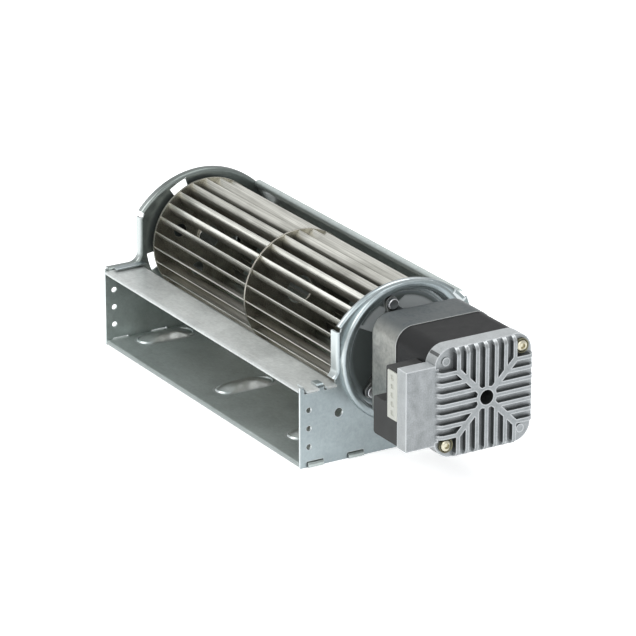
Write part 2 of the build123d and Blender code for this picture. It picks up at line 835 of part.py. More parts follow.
with BuildPart() as motor_rear_cover:
    with BuildSketch(across(cover_x)):
        add(body_section)
    extrude(amount=cover_length)
    fillet(motor_rear_cover.faces().sort_by(Axis.X)[-1].edges(), radius=cover_edge_radius)
    with BuildSketch(across(rib_top_x)):
        with PolarLocations(0, 4):
            add(grooves)
    extrude(amount=-groove_depth, mode=Mode.SUBTRACT)
    with BuildSketch(across(rib_top_x)):
        with GridLocations(2 * pad_middle, 2 * pad_middle, 2, 2):
            Rectangle(pad_size, pad_size)
    extrude(amount=-pad_drop, mode=Mode.SUBTRACT)
    with BuildSketch(across(pad_x)):
        with Locations((-cover_screw_pitch / 2, cover_screw_pitch / 2), (cover_screw_pitch / 2, -cover_screw_pitch / 2)):
            Circle(pad_boss_radius)
    extrude(amount=pad_boss_height)
    with BuildSketch(across(cover_x)):
        Circle(winding_outer_radius + slot_clearance)
        Circle(winding_inner_radius - slot_clearance, mode=Mode.SUBTRACT)
    extrude(amount=cover_pocket_depth, mode=Mode.SUBTRACT)
    with BuildSketch(across(cover_x)):
        Circle(bearing_radius)
    extrude(amount=rear_bearing_depth, mode=Mode.SUBTRACT)
    with BuildSketch(across(cover_x)):
        Circle(shaft_hole_radius)
        with Locations(*cover_screw_places):
            Circle(cover_screw_radius)
    extrude(amount=cover_length, mode=Mode.SUBTRACT)
    with BuildSketch(across(lid_x)):
        with Locations(lid_place):
            Rectangle(lid_width, lid_height)
    extrude(amount=lid_thickness)
    with BuildSketch(across(lid_x)):
        with Locations((-motor_width / 2, lid_middle)):
            Rectangle(2 * lid_wall, lid_height - 2 * lid_wall)
    extrude(amount=lid_thickness)
    with BuildSketch(across(lid_x)):
        with Locations(lid_place):
            Rectangle(lid_width - 2 * lid_wall, lid_height - 2 * lid_wall)
    extrude(amount=lid_thickness - lid_wall, mode=Mode.SUBTRACT)

with BuildPart() as cover_screws:
    with BuildSketch(across(pad_x)):
        with Locations(*cover_screw_places):
            Circle(cover_head_radius)
    extrude(amount=cover_head_height)
    chamfer(cover_screws.edges().group_by(Axis.X)[-1], length=0.5)
    with BuildSketch(across(pad_x + cover_head_height)):
        with Locations(*cover_screw_places):
            RegularPolygon(drive_radius, 6)
    extrude(amount=-drive_depth, mode=Mode.SUBTRACT)
    with BuildSketch(across(pad_x)):
        with Locations(*cover_screw_places):
            Circle(cover_screw_radius)
    extrude(amount=stack_x - screw_depth_in_shield - pad_x)


# Electronics beside the motor
case_front = case_inset - box_reach
case_bottom = axis_height + box_bottom + case_inset
case_top = axis_height + box_top - case_below_lid
header_front = -box_reach - header_proud
header_back = header_front + header_depth
header_x = lid_x - header_width
neck_x = lid_x - case_neck
header_middle = (header_top + header_bottom) / 2

with BuildPart() as electronics_case:
    with BuildSketch(Plane.XZ.offset(-axis_y - case_front)):
        with BuildLine():
            Polyline(
                (lid_x - case_length, case_bottom),
                (lid_x, case_bottom),
                (lid_x, case_top),
                (neck_x, case_top),
                (neck_x, axis_height + case_step),
                (lid_x - case_length, axis_height + case_step),
                close=True,
            )
        make_face()
    extrude(amount=case_front + motor_width / 2)
    fillet(electronics_case.edges().filter_by(Axis.Y), radius=case_corner_radius)
    with BuildSketch(across(header_x)):
        with Locations(((header_front + header_back) / 2, header_middle)):
            Rectangle(header_depth, header_top - header_bottom)
    extrude(amount=header_width, mode=Mode.SUBTRACT)

with BuildPart() as plug_header:
    with BuildSketch(Plane.XZ.offset(-axis_y - header_front)):
        with Locations(((header_x + lid_x) / 2, axis_height + header_middle)):
            RectangleRounded(header_width, header_top - header_bottom, header_end_radius)
    extrude(amount=-header_depth)
    with BuildSketch(Plane.XZ.offset(-axis_y - header_front)):
        with Locations(((header_x + lid_x) / 2, axis_height + header_middle)):
            with GridLocations(0, pin_pitch, 1, pin_count):
                Circle(socket_radius)
    extrude(amount=-socket_depth, mode=Mode.SUBTRACT)

with BuildPart() as header_pins:
    with BuildSketch(Plane.XZ.offset(-axis_y - header_front - socket_depth)):
        with Locations(((header_x + lid_x) / 2, axis_height + header_middle)):
            with GridLocations(0, pin_pitch, 1, pin_count):
                Circle(pin_radius)
    extrude(amount=pin_length)

with BuildPart() as control_board:
    with BuildSketch(across(lid_x)):
        with Locations(lid_place):
            Rectangle(
                lid_width - 2 * (lid_wall + board_margin),
                lid_height - 2 * (lid_wall + board_margin),
            )
    extrude(amount=board_thickness)


# Labels and files
pieces = {
    "impeller_blades": impeller_blades,
    "impeller_bearing_disc": impeller_bearing_disc,
    "impeller_centre_disc": impeller_centre_disc,
    "impeller_motor_disc": impeller_motor_disc,
    "stub_shaft": stub_shaft,
    "impeller_hub": impeller_hub,
    "hub_set_screw": hub_set_screw,
    "motor_shaft": motor_shaft,
    "magnet_rotor": magnet_rotor,
    "bearing_side_plate": bearing_side_plate,
    "motor_side_plate": motor_side_plate,
    "scroll_wall": scroll_wall,
    "outlet_lip": outlet_lip,
    "bearing_damper": bearing_damper,
    "bearing_bush": bearing_bush,
    "thrust_washer": thrust_washer,
    "motor_front_shield": motor_front_shield,
    "mount_screws": mount_screws,
    "stator_stack": stator_stack,
    "stator_windings": stator_windings,
    "front_bearing": front_bearing,
    "rear_bearing": rear_bearing,
    "motor_rear_cover": motor_rear_cover,
    "cover_screws": cover_screws,
    "electronics_case": electronics_case,
    "control_board": control_board,
    "plug_header": plug_header,
    "header_pins": header_pins,
}
for name, piece in pieces.items():
    piece.part.label = name
    export_step(piece.part, f"parts/{name}.step")
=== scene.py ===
"""Cross flow fan: finishes, detail pieces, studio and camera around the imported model.

All places are in metres in the model's own frame: X runs along the impeller axis
towards the motor, -Y is the side that the air leaves by, and Z is up.
"""

import logging
import math
from dataclasses import dataclass, field
from enum import Enum
from typing import Any, Callable, Sequence

import bmesh
import bpy
from mathutils import Matrix, Vector


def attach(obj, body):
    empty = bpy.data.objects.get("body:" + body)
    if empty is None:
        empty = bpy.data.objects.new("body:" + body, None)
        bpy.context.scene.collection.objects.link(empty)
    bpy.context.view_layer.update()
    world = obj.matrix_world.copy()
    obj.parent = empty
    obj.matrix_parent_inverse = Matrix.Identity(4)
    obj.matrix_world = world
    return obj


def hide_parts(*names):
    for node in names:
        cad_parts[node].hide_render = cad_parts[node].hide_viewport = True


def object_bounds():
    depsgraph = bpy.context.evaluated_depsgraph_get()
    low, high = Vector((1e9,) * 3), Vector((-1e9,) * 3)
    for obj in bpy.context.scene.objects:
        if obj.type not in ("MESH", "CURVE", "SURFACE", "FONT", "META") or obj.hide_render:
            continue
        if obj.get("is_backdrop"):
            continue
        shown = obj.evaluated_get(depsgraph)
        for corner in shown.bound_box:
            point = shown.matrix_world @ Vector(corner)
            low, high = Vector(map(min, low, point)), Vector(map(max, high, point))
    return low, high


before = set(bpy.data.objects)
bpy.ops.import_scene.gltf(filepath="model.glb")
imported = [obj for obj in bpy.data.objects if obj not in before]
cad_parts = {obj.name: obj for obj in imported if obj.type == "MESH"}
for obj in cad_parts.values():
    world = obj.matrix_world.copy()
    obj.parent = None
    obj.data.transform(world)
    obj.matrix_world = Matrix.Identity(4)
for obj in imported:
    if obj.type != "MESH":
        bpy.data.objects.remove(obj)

LOG = logging.getLogger("cross_flow_fan")
MM = 0.001
AXIS = Vector((0.0, 52.8, 48.5)) * MM
PHOTO_PIXELS = 636

Point = tuple[float, float]
Colour = tuple[float, float, float]


class Body(Enum):
    """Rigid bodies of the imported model."""

    HOUSING = "housing"
    ROTOR = "rotor"


# Nodes


def add_node(
    tree: bpy.types.NodeTree, kind: str, settings: dict[str, Any], inputs: dict[Any, Any]
) -> bpy.types.Node:
    """Add a node, apply its settings, then set or link its sockets.

    Args:
        tree: Node tree of a material, the world or a modifier.
        kind: The node's type.
        settings: Its properties by name.
        inputs: Numbers, colours, sockets or values, by socket name or index.

    Returns:
        The new node.
    """
    node = tree.nodes.new(kind)
    for key, setting in settings.items():
        setattr(node, key, setting)
    for key, term in inputs.items():
        source = term.socket if isinstance(term, Value) else term
        if isinstance(source, bpy.types.NodeSocket):
            tree.links.new(source, node.inputs[key])
        elif isinstance(source, tuple) and len(source) == 3 and node.inputs[key].type == "RGBA":
            node.inputs[key].default_value = (*source, 1.0)
        else:
            node.inputs[key].default_value = source
    return node


def bare_tree(owner: bpy.types.Material | bpy.types.World) -> bpy.types.NodeTree:
    """Node tree of a material or world, emptied."""
    owner.use_nodes = True
    owner.node_tree.nodes.clear()
    return owner.node_tree


class Value:
    """A shader socket that can be used in sums, products and comparisons."""

    def __init__(self, graph: "Graph", socket: Any) -> None:
        """Wrap one output socket of a graph."""
        self.graph = graph
        self.socket = socket

    def _math(self, operation: str, *terms: Any) -> "Value":
        """Add a Math node.

        Args:
            operation: The node's operation.
            terms: Its inputs in order, numbers or values.

        Returns:
            The node's result.
        """
        settings = {"operation": operation}
        node = self.graph.node("ShaderNodeMath", settings, dict(enumerate(terms)))
        return Value(self.graph, node.outputs[0])

    def __add__(self, other: Any) -> "Value":
        """Sum of two values."""
        return self._math("ADD", self, other)

    def __radd__(self, other: Any) -> "Value":
        """Sum with a number on the left."""
        return self._math("ADD", other, self)

    def __sub__(self, other: Any) -> "Value":
        """Difference of two values."""
        return self._math("SUBTRACT", self, other)

    def __rsub__(self, other: Any) -> "Value":
        """Difference from a number on the left."""
        return self._math("SUBTRACT", other, self)

    def __mul__(self, other: Any) -> "Value":
        """Product of two values."""
        return self._math("MULTIPLY", self, other)

    def __rmul__(self, other: Any) -> "Value":
        """Product with a number on the left."""
        return self._math("MULTIPLY", other, self)

    def __truediv__(self, other: Any) -> "Value":
        """Quotient of two values."""
        return self._math("DIVIDE", self, other)

    def __pow__(self, other: Any) -> "Value":
        """Power of a value."""
        return self._math("POWER", self, other)

    def fraction(self) -> "Value":
        """Fraction part of the value."""
        return self._math("FRACT", self)

    def absolute(self) -> "Value":
        """The value without its sign."""
        return self._math("ABSOLUTE", self)

    def below(self, edge: float) -> "Value":
        """One where the value is below the edge, else zero."""
        return self._math("LESS_THAN", self, edge)

    def spread(self, low: float, high: float, to_low: float = 0.0, to_high: float = 1.0) -> "Value":
        """Map a range of the value to another range, and clamp it there.

        Args:
            low: Value that becomes to_low.
            high: Value that becomes to_high.
            to_low: Start of the new range.
            to_high: End of the new range.

        Returns:
            The mapped value.
        """
        terms = {"Value": self, "From Min": low, "From Max": high, "To Min": to_low, "To Max": to_high}
        node = self.graph.node("ShaderNodeMapRange", {"clamp": True}, terms)
        return Value(self.graph, node.outputs["Result"])

    def clamp(self, low: float, high: float) -> "Value":
        """The value, kept between two limits."""
        return self.spread(low, high, low, high)


class Graph:
    """A material's node tree with one Principled shader at its end."""

    def __init__(self, name: str) -> None:
        """Make an empty material of that name."""
        self.material = bpy.data.materials.new(name)
        self.tree = bare_tree(self.material)
        self.shader = self.node("ShaderNodeBsdfPrincipled", {}, {})
        self.output = self.node("ShaderNodeOutputMaterial", {}, {"Surface": self.shader.outputs[0]})

    def node(self, kind: str, settings: dict[str, Any], inputs: dict[Any, Any]) -> bpy.types.Node:
        """Add a node to the material, as add_node does."""
        return add_node(self.tree, kind, settings, inputs)

    def place(self, scale: Sequence[float] = (1, 1, 1), turn: Sequence[float] = (0, 0, 0)) -> Value:
        """Object coordinates in millimetres, stretched and turned.

        Args:
            scale: Stretch along X, Y and Z.
            turn: Turn about X, Y and Z in degrees.

        Returns:
            The coordinates.
        """
        source = self.node("ShaderNodeTexCoord", {}, {}).outputs["Object"]
        terms = {
            "Vector": source,
            "Scale": tuple(s / MM for s in scale),
            "Rotation": tuple(math.radians(t) for t in turn),
        }
        return Value(self, self.node("ShaderNodeMapping", {}, terms).outputs[0])

    def noise(self, place: Value, scale: float, detail: float = 3.0, distortion: float = 0.0) -> Value:
        """Noise from zero to one, with a scale in features per coordinate unit."""
        terms = {"Vector": place, "Scale": scale, "Detail": detail, "Distortion": distortion}
        return Value(self, self.node("ShaderNodeTexNoise", {}, terms).outputs[0])

    def cells(self, place: Value, scale: float) -> Value:
        """A random grey for each crystal-like cell."""
        node = self.node("ShaderNodeTexVoronoi", {}, {"Vector": place, "Scale": scale})
        parts = self.node("ShaderNodeSeparateColor", {}, {"Color": node.outputs["Color"]})
        return Value(self, parts.outputs[0])

    def component(self, place: Any, axis: int) -> Value:
        """One component of a vector, by index."""
        return Value(self, self.node("ShaderNodeSeparateXYZ", {}, {"Vector": place}).outputs[axis])

    def mix(self, factor: Any, first: Any, second: Any) -> Value:
        """Blend of two colours."""
        terms = {0: factor, 6: first, 7: second}
        return Value(self, self.node("ShaderNodeMix", {"data_type": "RGBA"}, terms).outputs[2])

    def edge_wear_and_highlight(self, reach: float) -> Value:
        """Small mask that is strong at the outside edges of the piece, for bright edges that are partly wear
        and partly a painted highlight.

        Args:
            reach: Width of the worn, highlighted edge in millimetres.

        Returns:
            The mask, from zero to one.
        """
        terms = {"Distance": reach * MM}
        occlusion = self.node("ShaderNodeAmbientOcclusion", {"inside": True, "samples": 6}, terms)
        return Value(self, occlusion.outputs["AO"]).spread(0.55, 0.95, 1.0, 0.0)

    def unshaded_share(self, reach: float) -> Value:
        """Ambient occlusion, used for painted shade: one on a free face, zero deep in a corner.

        Args:
            reach: Distance in millimetres within which other faces count.

        Returns:
            The mask, from zero to one.
        """
        terms = {"Distance": reach * MM}
        occlusion = self.node("ShaderNodeAmbientOcclusion", {"samples": 8}, terms)
        return Value(self, occlusion.outputs["AO"])

    def across(self, axis: int) -> Value:
        """Distance in millimetres past the impeller axis, along Y or Z by index."""
        return self.component(self.place(), axis) - AXIS[axis] / MM

    def radius(self) -> Value:
        """Distance in millimetres from the impeller axis."""
        across, up = self.across(1), self.across(2)
        return (across * across + up * up) ** 0.5

    def facing(self, axis: int) -> Value:
        """Component of the surface's normal along X, Y or Z, by index."""
        return self.component(self.node("ShaderNodeNewGeometry", {}, {}).outputs["Normal"], axis)

    def bump(self, height: Value, depth: float, strength: float = 1.0) -> Value:
        """Normal of a height from zero to one, where one stands depth millimetres high."""
        terms = {"Height": height, "Distance": depth * MM, "Strength": strength}
        return Value(self, self.node("ShaderNodeBump", {}, terms).outputs[0])

    def shade(self, **sockets: Any) -> bpy.types.Material:
        """Set or link the shader's sockets.

        Args:
            sockets: Values by socket name, with underscores for spaces.

        Returns:
            The finished material.
        """
        for key, term in sockets.items():
            socket = self.shader.inputs[key.replace("_", " ")]
            if isinstance(term, Value):
                self.tree.links.new(term.socket, socket)
            elif isinstance(term, tuple):
                socket.default_value = (*term, 1.0)
            else:
                socket.default_value = term
        return self.material


# Finishes: noise scales are in features per millimetre, lengths in millimetres


@dataclass(frozen=True)
class GalvanisedSheet:
    """Hot dipped sheet: soft blue grey with a fine frost and faint spangle; painted shade in corners and in
    set zones, painted shading on faces towards -Y, and bright edges that are partly wear and partly a painted
    highlight.
    """

    name: str = "galvanised_sheet"
    light: Colour = (0.370, 0.425, 0.440)
    dark: Colour = (0.270, 0.315, 0.328)
    shade: Colour = (0.045, 0.055, 0.052)
    # Colours of painted shade for the zones below: one for the upper and back parts, one inside the ring.
    painted_shade: Colour = (0.108, 0.126, 0.119)
    ring_painted_shade: Colour = (0.062, 0.074, 0.070)
    rubbed_and_highlight: Colour = (0.74, 0.78, 0.79)
    rub_width: float = 0.4
    reach: float = 8.0
    open_from: float = -0.1
    open_to: float = 0.6
    # Painted shading on faces towards -Y: its share, then its colour.
    front: float = 0.75
    front_painted_shading: Colour = (0.66, 0.71, 0.70)
    spangle_scale: float = 0.42
    cloud_scale: float = 0.03
    rolling_scale: float = 1.6
    frost_scale: float = 0.75
    frost: float = 0.3
    relief: float = 0.45
    depth: float = 0.02
    roughness: float = 0.32
    metallic: float = 0.95
    # Zones of painted shade; inside the ring the zinc is also made duller.
    shaded_above: float | None = None
    dull_and_shaded_inside: float | None = None
    shaded_behind: float | None = None

    def painted_shade_zones(self, graph: Graph, colour: Value) -> Value:
        """Painted shade above a height, inside the ring round the axis, or behind a place, as asked.

        Args:
            graph: The material's graph.
            colour: Colour of the sheet before the painted shade.

        Returns:
            The colour with the painted shade that is asked for.
        """
        if self.shaded_above is not None:
            height = graph.component(graph.place(), 2)
            above = height.spread(self.shaded_above - 4.0, self.shaded_above + 4.0, 0.0, 0.85)
            colour = graph.mix(above, colour, self.painted_shade)
        if self.dull_and_shaded_inside is not None:
            inside = graph.radius().spread(self.dull_and_shaded_inside - 3.0, self.dull_and_shaded_inside + 1.0, 0.95, 0.0)
            colour = graph.mix(inside, colour, self.ring_painted_shade)
        if self.shaded_behind is not None:
            depth = graph.component(graph.place(), 1)
            behind = depth.spread(self.shaded_behind, self.shaded_behind + 8.0, 0.0, 0.6)
            colour = graph.mix(behind, colour, self.painted_shade)
        return colour

    def within(self, graph: Graph, inner: float, outer: float) -> Any:
        """A value for the dull zinc inside the ring, and another for the rest of the sheet."""
        if self.dull_and_shaded_inside is None:
            return outer
        return graph.radius().spread(self.dull_and_shaded_inside - 1.5, self.dull_and_shaded_inside + 1.5, inner, outer)

    def material(self) -> bpy.types.Material:
        """Build the material."""
        graph = Graph(self.name)
        place = graph.place()
        spangle = graph.cells(place, self.spangle_scale)
        cloud = graph.noise(place, self.cloud_scale, 4.0, 0.8)
        rolling = graph.noise(graph.place((0.02, 1.0, 1.0)), self.rolling_scale, 2.0)
        frost = graph.noise(place, self.frost_scale, 4.0)
        calm = 1.0 - self.frost
        tone = cloud * (0.7 * calm) + rolling * (0.2 * calm) + spangle * (0.1 * calm) + frost * self.frost
        colour = self.painted_shade_zones(graph, graph.mix(tone.spread(0.34, 0.66), self.dark, self.light))
        # Painted light on faces that point towards -Y, painted shade where the colour is dark.
        front = graph.facing(1).spread(-0.45, -0.95) * self.front
        colour = graph.mix(front, colour, self.front_painted_shading)
        # Painted shade: corners and hollows are darkened towards the shade colour.
        free = graph.unshaded_share(self.reach).spread(self.open_from, self.open_to)
        colour = graph.mix(free, self.shade, colour)
        # Bright edges: partly wear, partly a painted highlight.
        colour = graph.mix(graph.edge_wear_and_highlight(self.rub_width) * free * 0.55, colour, self.rubbed_and_highlight)
        metal = self.within(graph, 0.35, self.metallic)
        base = self.within(graph, 0.55, self.roughness - 0.10)
        rough = (cloud * 0.12 + frost * 0.10 + base).clamp(0.1, 0.8)
        relief = graph.bump(frost * 0.5 + rolling * 0.5, self.depth, self.relief)
        return graph.shade(Base_Color=colour, Metallic=metal, Roughness=rough, Normal=relief)


@dataclass(frozen=True)
class RolledSteel:
    """Bright rolled strip with fine lines along X, with painted shade where blades and discs close in and
    towards the axis, and bright edges that are partly wear and partly a painted highlight.
    """

    name: str
    light: Colour = (0.80, 0.80, 0.745)
    dark: Colour = (0.41, 0.41, 0.37)
    shade: Colour = (0.105, 0.100, 0.082)
    rubbed_and_highlight: Colour = (0.92, 0.91, 0.87)
    rub_width: float = 0.25
    reach: float = 7.0
    open_from: float = 0.10
    open_to: float = 0.72
    line_scale: float = 1.9
    stain_scale: float = 0.12
    # Radii between which the painted shade towards the axis fades out.
    inner_edge: float | None = None
    outer_edge: float = 29.6
    roughness: float = 0.33
    metallic: float = 0.95

    def material(self) -> bpy.types.Material:
        """Build the material."""
        graph = Graph(self.name)
        lines = graph.noise(graph.place((0.012, 1.0, 1.0)), self.line_scale, 4.0)
        stain = graph.noise(graph.place((0.35, 1.0, 1.0)), self.stain_scale, 4.0, 0.5)
        tone = (lines * 0.6 + stain * 0.4).spread(0.34, 0.66)
        colour = graph.mix(tone, self.dark, self.light)
        # Painted shade: closed-in places, and places deeper in the drum, are darkened towards the shade
        # colour.
        free = graph.unshaded_share(self.reach).spread(self.open_from, self.open_to)
        if self.inner_edge is not None:
            free = free * graph.radius().spread(self.inner_edge, self.outer_edge, 0.12, 1.0)
        colour = graph.mix(free, self.shade, colour)
        # Bright edges: partly wear, partly a painted highlight.
        colour = graph.mix(graph.edge_wear_and_highlight(self.rub_width) * free * 0.7, colour, self.rubbed_and_highlight)
        rough = (lines * 0.14 + stain * 0.12 + (self.roughness - 0.13)).clamp(0.1, 0.7)
        relief = graph.bump(lines, 0.02, 0.5)
        return graph.shade(Base_Color=colour, Metallic=self.metallic, Roughness=rough, Normal=relief)


@dataclass(frozen=True)
class CastAluminium:
    """Die cast alloy: sandy grain and flow marks, with painted shading on tops and on faces towards -Y,
    painted shade in corners and on the rib sides, and bright edges that are partly wear and partly a painted
    highlight.
    """

    name: str = "cast_aluminium"
    light: Colour = (0.315, 0.332, 0.340)
    dark: Colour = (0.205, 0.218, 0.222)
    shade: Colour = (0.035, 0.037, 0.037)
    rubbed_and_highlight: Colour = (0.74, 0.77, 0.78)
    rub_width: float = 0.7
    reach: float = 3.0
    open_from: float = 0.05
    open_to: float = 0.7
    # Painted shading on upward faces: its share, then its colour.
    top: float = 0.7
    top_painted_shading: Colour = (0.60, 0.63, 0.64)
    # Painted shading on faces towards -Y: its share, then its colour.
    front: float = 0.2
    front_painted_shading: Colour = (0.55, 0.57, 0.56)
    # Half side of the square in which the rib sides get painted shade.
    ribs: float | None = None
    grain: float = 1.3
    flow_scale: float = 0.09
    roughness: float = 0.42
    metallic: float = 0.85

    def painted_rib_shade(self, graph: Graph, colour: Value) -> Value:
        """Painted shade on the sides of the ribs, inside a square round the motor's axis."""
        if self.ribs is None:
            return colour
        across, up = graph.across(1).absolute(), graph.across(2).absolute()
        inside = across.below(self.ribs) * up.below(self.ribs)
        steep = graph.facing(0).absolute().spread(0.65, 0.2)
        return graph.mix(inside * steep * 0.8, colour, self.shade)

    def material(self) -> bpy.types.Material:
        """Build the material."""
        graph = Graph(self.name)
        place = graph.place()
        sand = graph.noise(place, self.grain, 4.0)
        flow = graph.noise(place, self.flow_scale, 5.0, 1.4)
        tone = (sand * 0.45 + flow * 0.55).spread(0.36, 0.64)
        colour = graph.mix(tone, self.dark, self.light)
        # Upward faces get painted shading, mottled like stains: lighter for the cover, darker for the shield.
        top = graph.facing(2).spread(0.3, 0.95) * self.top * (0.3 + flow * 0.7 + sand * 0.7)
        colour = graph.mix(top, colour, self.top_painted_shading)
        # Painted shading on faces that point towards -Y.
        front = graph.facing(1).spread(-0.5, -0.95) * self.front
        colour = graph.mix(front, colour, self.front_painted_shading)
        # Painted shade: corners and hollows are darkened towards the shade colour.
        free = graph.unshaded_share(self.reach).spread(self.open_from, self.open_to)
        colour = graph.mix(free, self.shade, colour)
        # Painted shade on the sides of the ribs.
        colour = self.painted_rib_shade(graph, colour)
        # Bright edges: partly wear, partly a painted highlight.
        colour = graph.mix(graph.edge_wear_and_highlight(self.rub_width) * free * 0.55, colour, self.rubbed_and_highlight)
        rough = (sand * 0.16 + flow * 0.12 + (self.roughness - 0.14)).clamp(0.1, 0.8)
        relief = graph.bump(sand * 0.6 + flow * 0.4, 0.08, 0.6)
        return graph.shade(Base_Color=colour, Metallic=self.metallic, Roughness=rough, Normal=relief)


@dataclass(frozen=True)
class TurnedMetal:
    """Turned or ground round parts with fine rings across the axis."""

    name: str
    light: Colour
    dark: Colour
    roughness: float = 0.25
    metallic: float = 1.0
    ring_scale: float = 3.0
    cloud_scale: float = 0.4

    def material(self) -> bpy.types.Material:
        """Build the material."""
        graph = Graph(self.name)
        rings = graph.noise(graph.place((1.0, 0.05, 0.05)), self.ring_scale, 3.0)
        cloud = graph.noise(graph.place(), self.cloud_scale, 3.0)
        colour = graph.mix((rings * 0.6 + cloud * 0.4).spread(0.3, 0.7), self.dark, self.light)
        rough = (rings * 0.15 + cloud * 0.1 + (self.roughness - 0.12)).clamp(0.05, 0.8)
        relief = graph.bump(rings, 0.01, 0.4)
        return graph.shade(Base_Color=colour, Metallic=self.metallic, Roughness=rough, Normal=relief)


@dataclass(frozen=True)
class Moulded:
    """Moulded plastic or rubber with a fine skin and slight dust."""

    name: str
    colour: Colour
    roughness: float = 0.45
    grain: float = 3.0
    depth: float = 0.02
    dust: float = 0.1
    gloss: float = 0.5
    dust_grey: float = 0.62
    cloud_scale: float = 0.12

    def material(self) -> bpy.types.Material:
        """Build the material."""
        graph = Graph(self.name)
        place = graph.place()
        skin = graph.noise(place, self.grain, 3.0)
        cloud = graph.noise(place, self.cloud_scale, 3.0)
        pale = tuple(c + (self.dust_grey - c) * self.dust for c in self.colour)
        colour = graph.mix((cloud * 0.7 + skin * 0.3).spread(0.35, 0.75), self.colour, pale)
        rough = (skin * 0.12 + cloud * 0.15 + (self.roughness - 0.13)).clamp(0.1, 0.95)
        relief = graph.bump(skin, self.depth, 0.6)
        return graph.shade(
            Base_Color=colour, Metallic=0.0, Roughness=rough, Normal=relief, Specular_IOR_Level=self.gloss
        )


@dataclass(frozen=True)
class Laminations:
    """Stack of punched sheets, seen as fine dark lines across X."""

    name: str = "laminations"
    sheet: float = 0.5
    gap_share: float = 0.3
    light: Colour = (0.028, 0.029, 0.030)
    dark: Colour = (0.007, 0.007, 0.007)
    gloss: float = 0.16

    def material(self) -> bpy.types.Material:
        """Build the material."""
        graph = Graph(self.name)
        place = graph.place()
        line = (graph.component(place, 0) / self.sheet).fraction().below(self.gap_share)
        blotch = graph.noise(place, 0.2, 3.0)
        colour = graph.mix((1 - line) * (blotch * 0.7 + 0.3), self.dark, self.light)
        rough = (blotch * 0.25 + 0.36).clamp(0.2, 0.8)
        relief = graph.bump(1 - line, 0.03, 0.4)
        return graph.shade(
            Base_Color=colour, Metallic=0.1, Roughness=rough, Normal=relief, Specular_IOR_Level=self.gloss
        )


@dataclass(frozen=True)
class CopperWire:
    """Varnished windings with strands that run round the axis."""

    name: str = "copper_windings"
    pitch: float = 0.6
    dark: Colour = (0.28, 0.09, 0.03)
    light: Colour = (0.62, 0.27, 0.11)

    def material(self) -> bpy.types.Material:
        """Build the material."""
        graph = Graph(self.name)
        place = graph.place()
        strand = (graph.component(place, 0) / self.pitch).fraction().spread(0.0, 1.0)
        blotch = graph.noise(place, 0.5, 3.0)
        colour = graph.mix(strand * 0.5 + blotch * 0.5, self.dark, self.light)
        rough = (blotch * 0.2 + 0.2).clamp(0.1, 0.8)
        relief = graph.bump(strand, 0.1, 0.8)
        return graph.shade(Base_Color=colour, Metallic=0.7, Roughness=rough, Normal=relief)


@dataclass(frozen=True)
class CircuitBoard:
    """Green board with faint copper tracks under the mask."""

    name: str = "circuit_board"
    mask: Colour = (0.01, 0.09, 0.035)
    track: Colour = (0.03, 0.19, 0.08)

    def material(self) -> bpy.types.Material:
        """Build the material."""
        graph = Graph(self.name)
        place = graph.place()
        tracks = graph.cells(place, 0.45).spread(0.45, 0.55)
        blotch = graph.noise(place, 0.8, 2.0)
        colour = graph.mix(tracks, self.mask, self.track)
        rough = (blotch * 0.2 + 0.25).clamp(0.1, 0.8)
        relief = graph.bump(tracks, 0.03, 0.5)
        return graph.shade(Base_Color=colour, Metallic=0.0, Roughness=rough, Normal=relief)


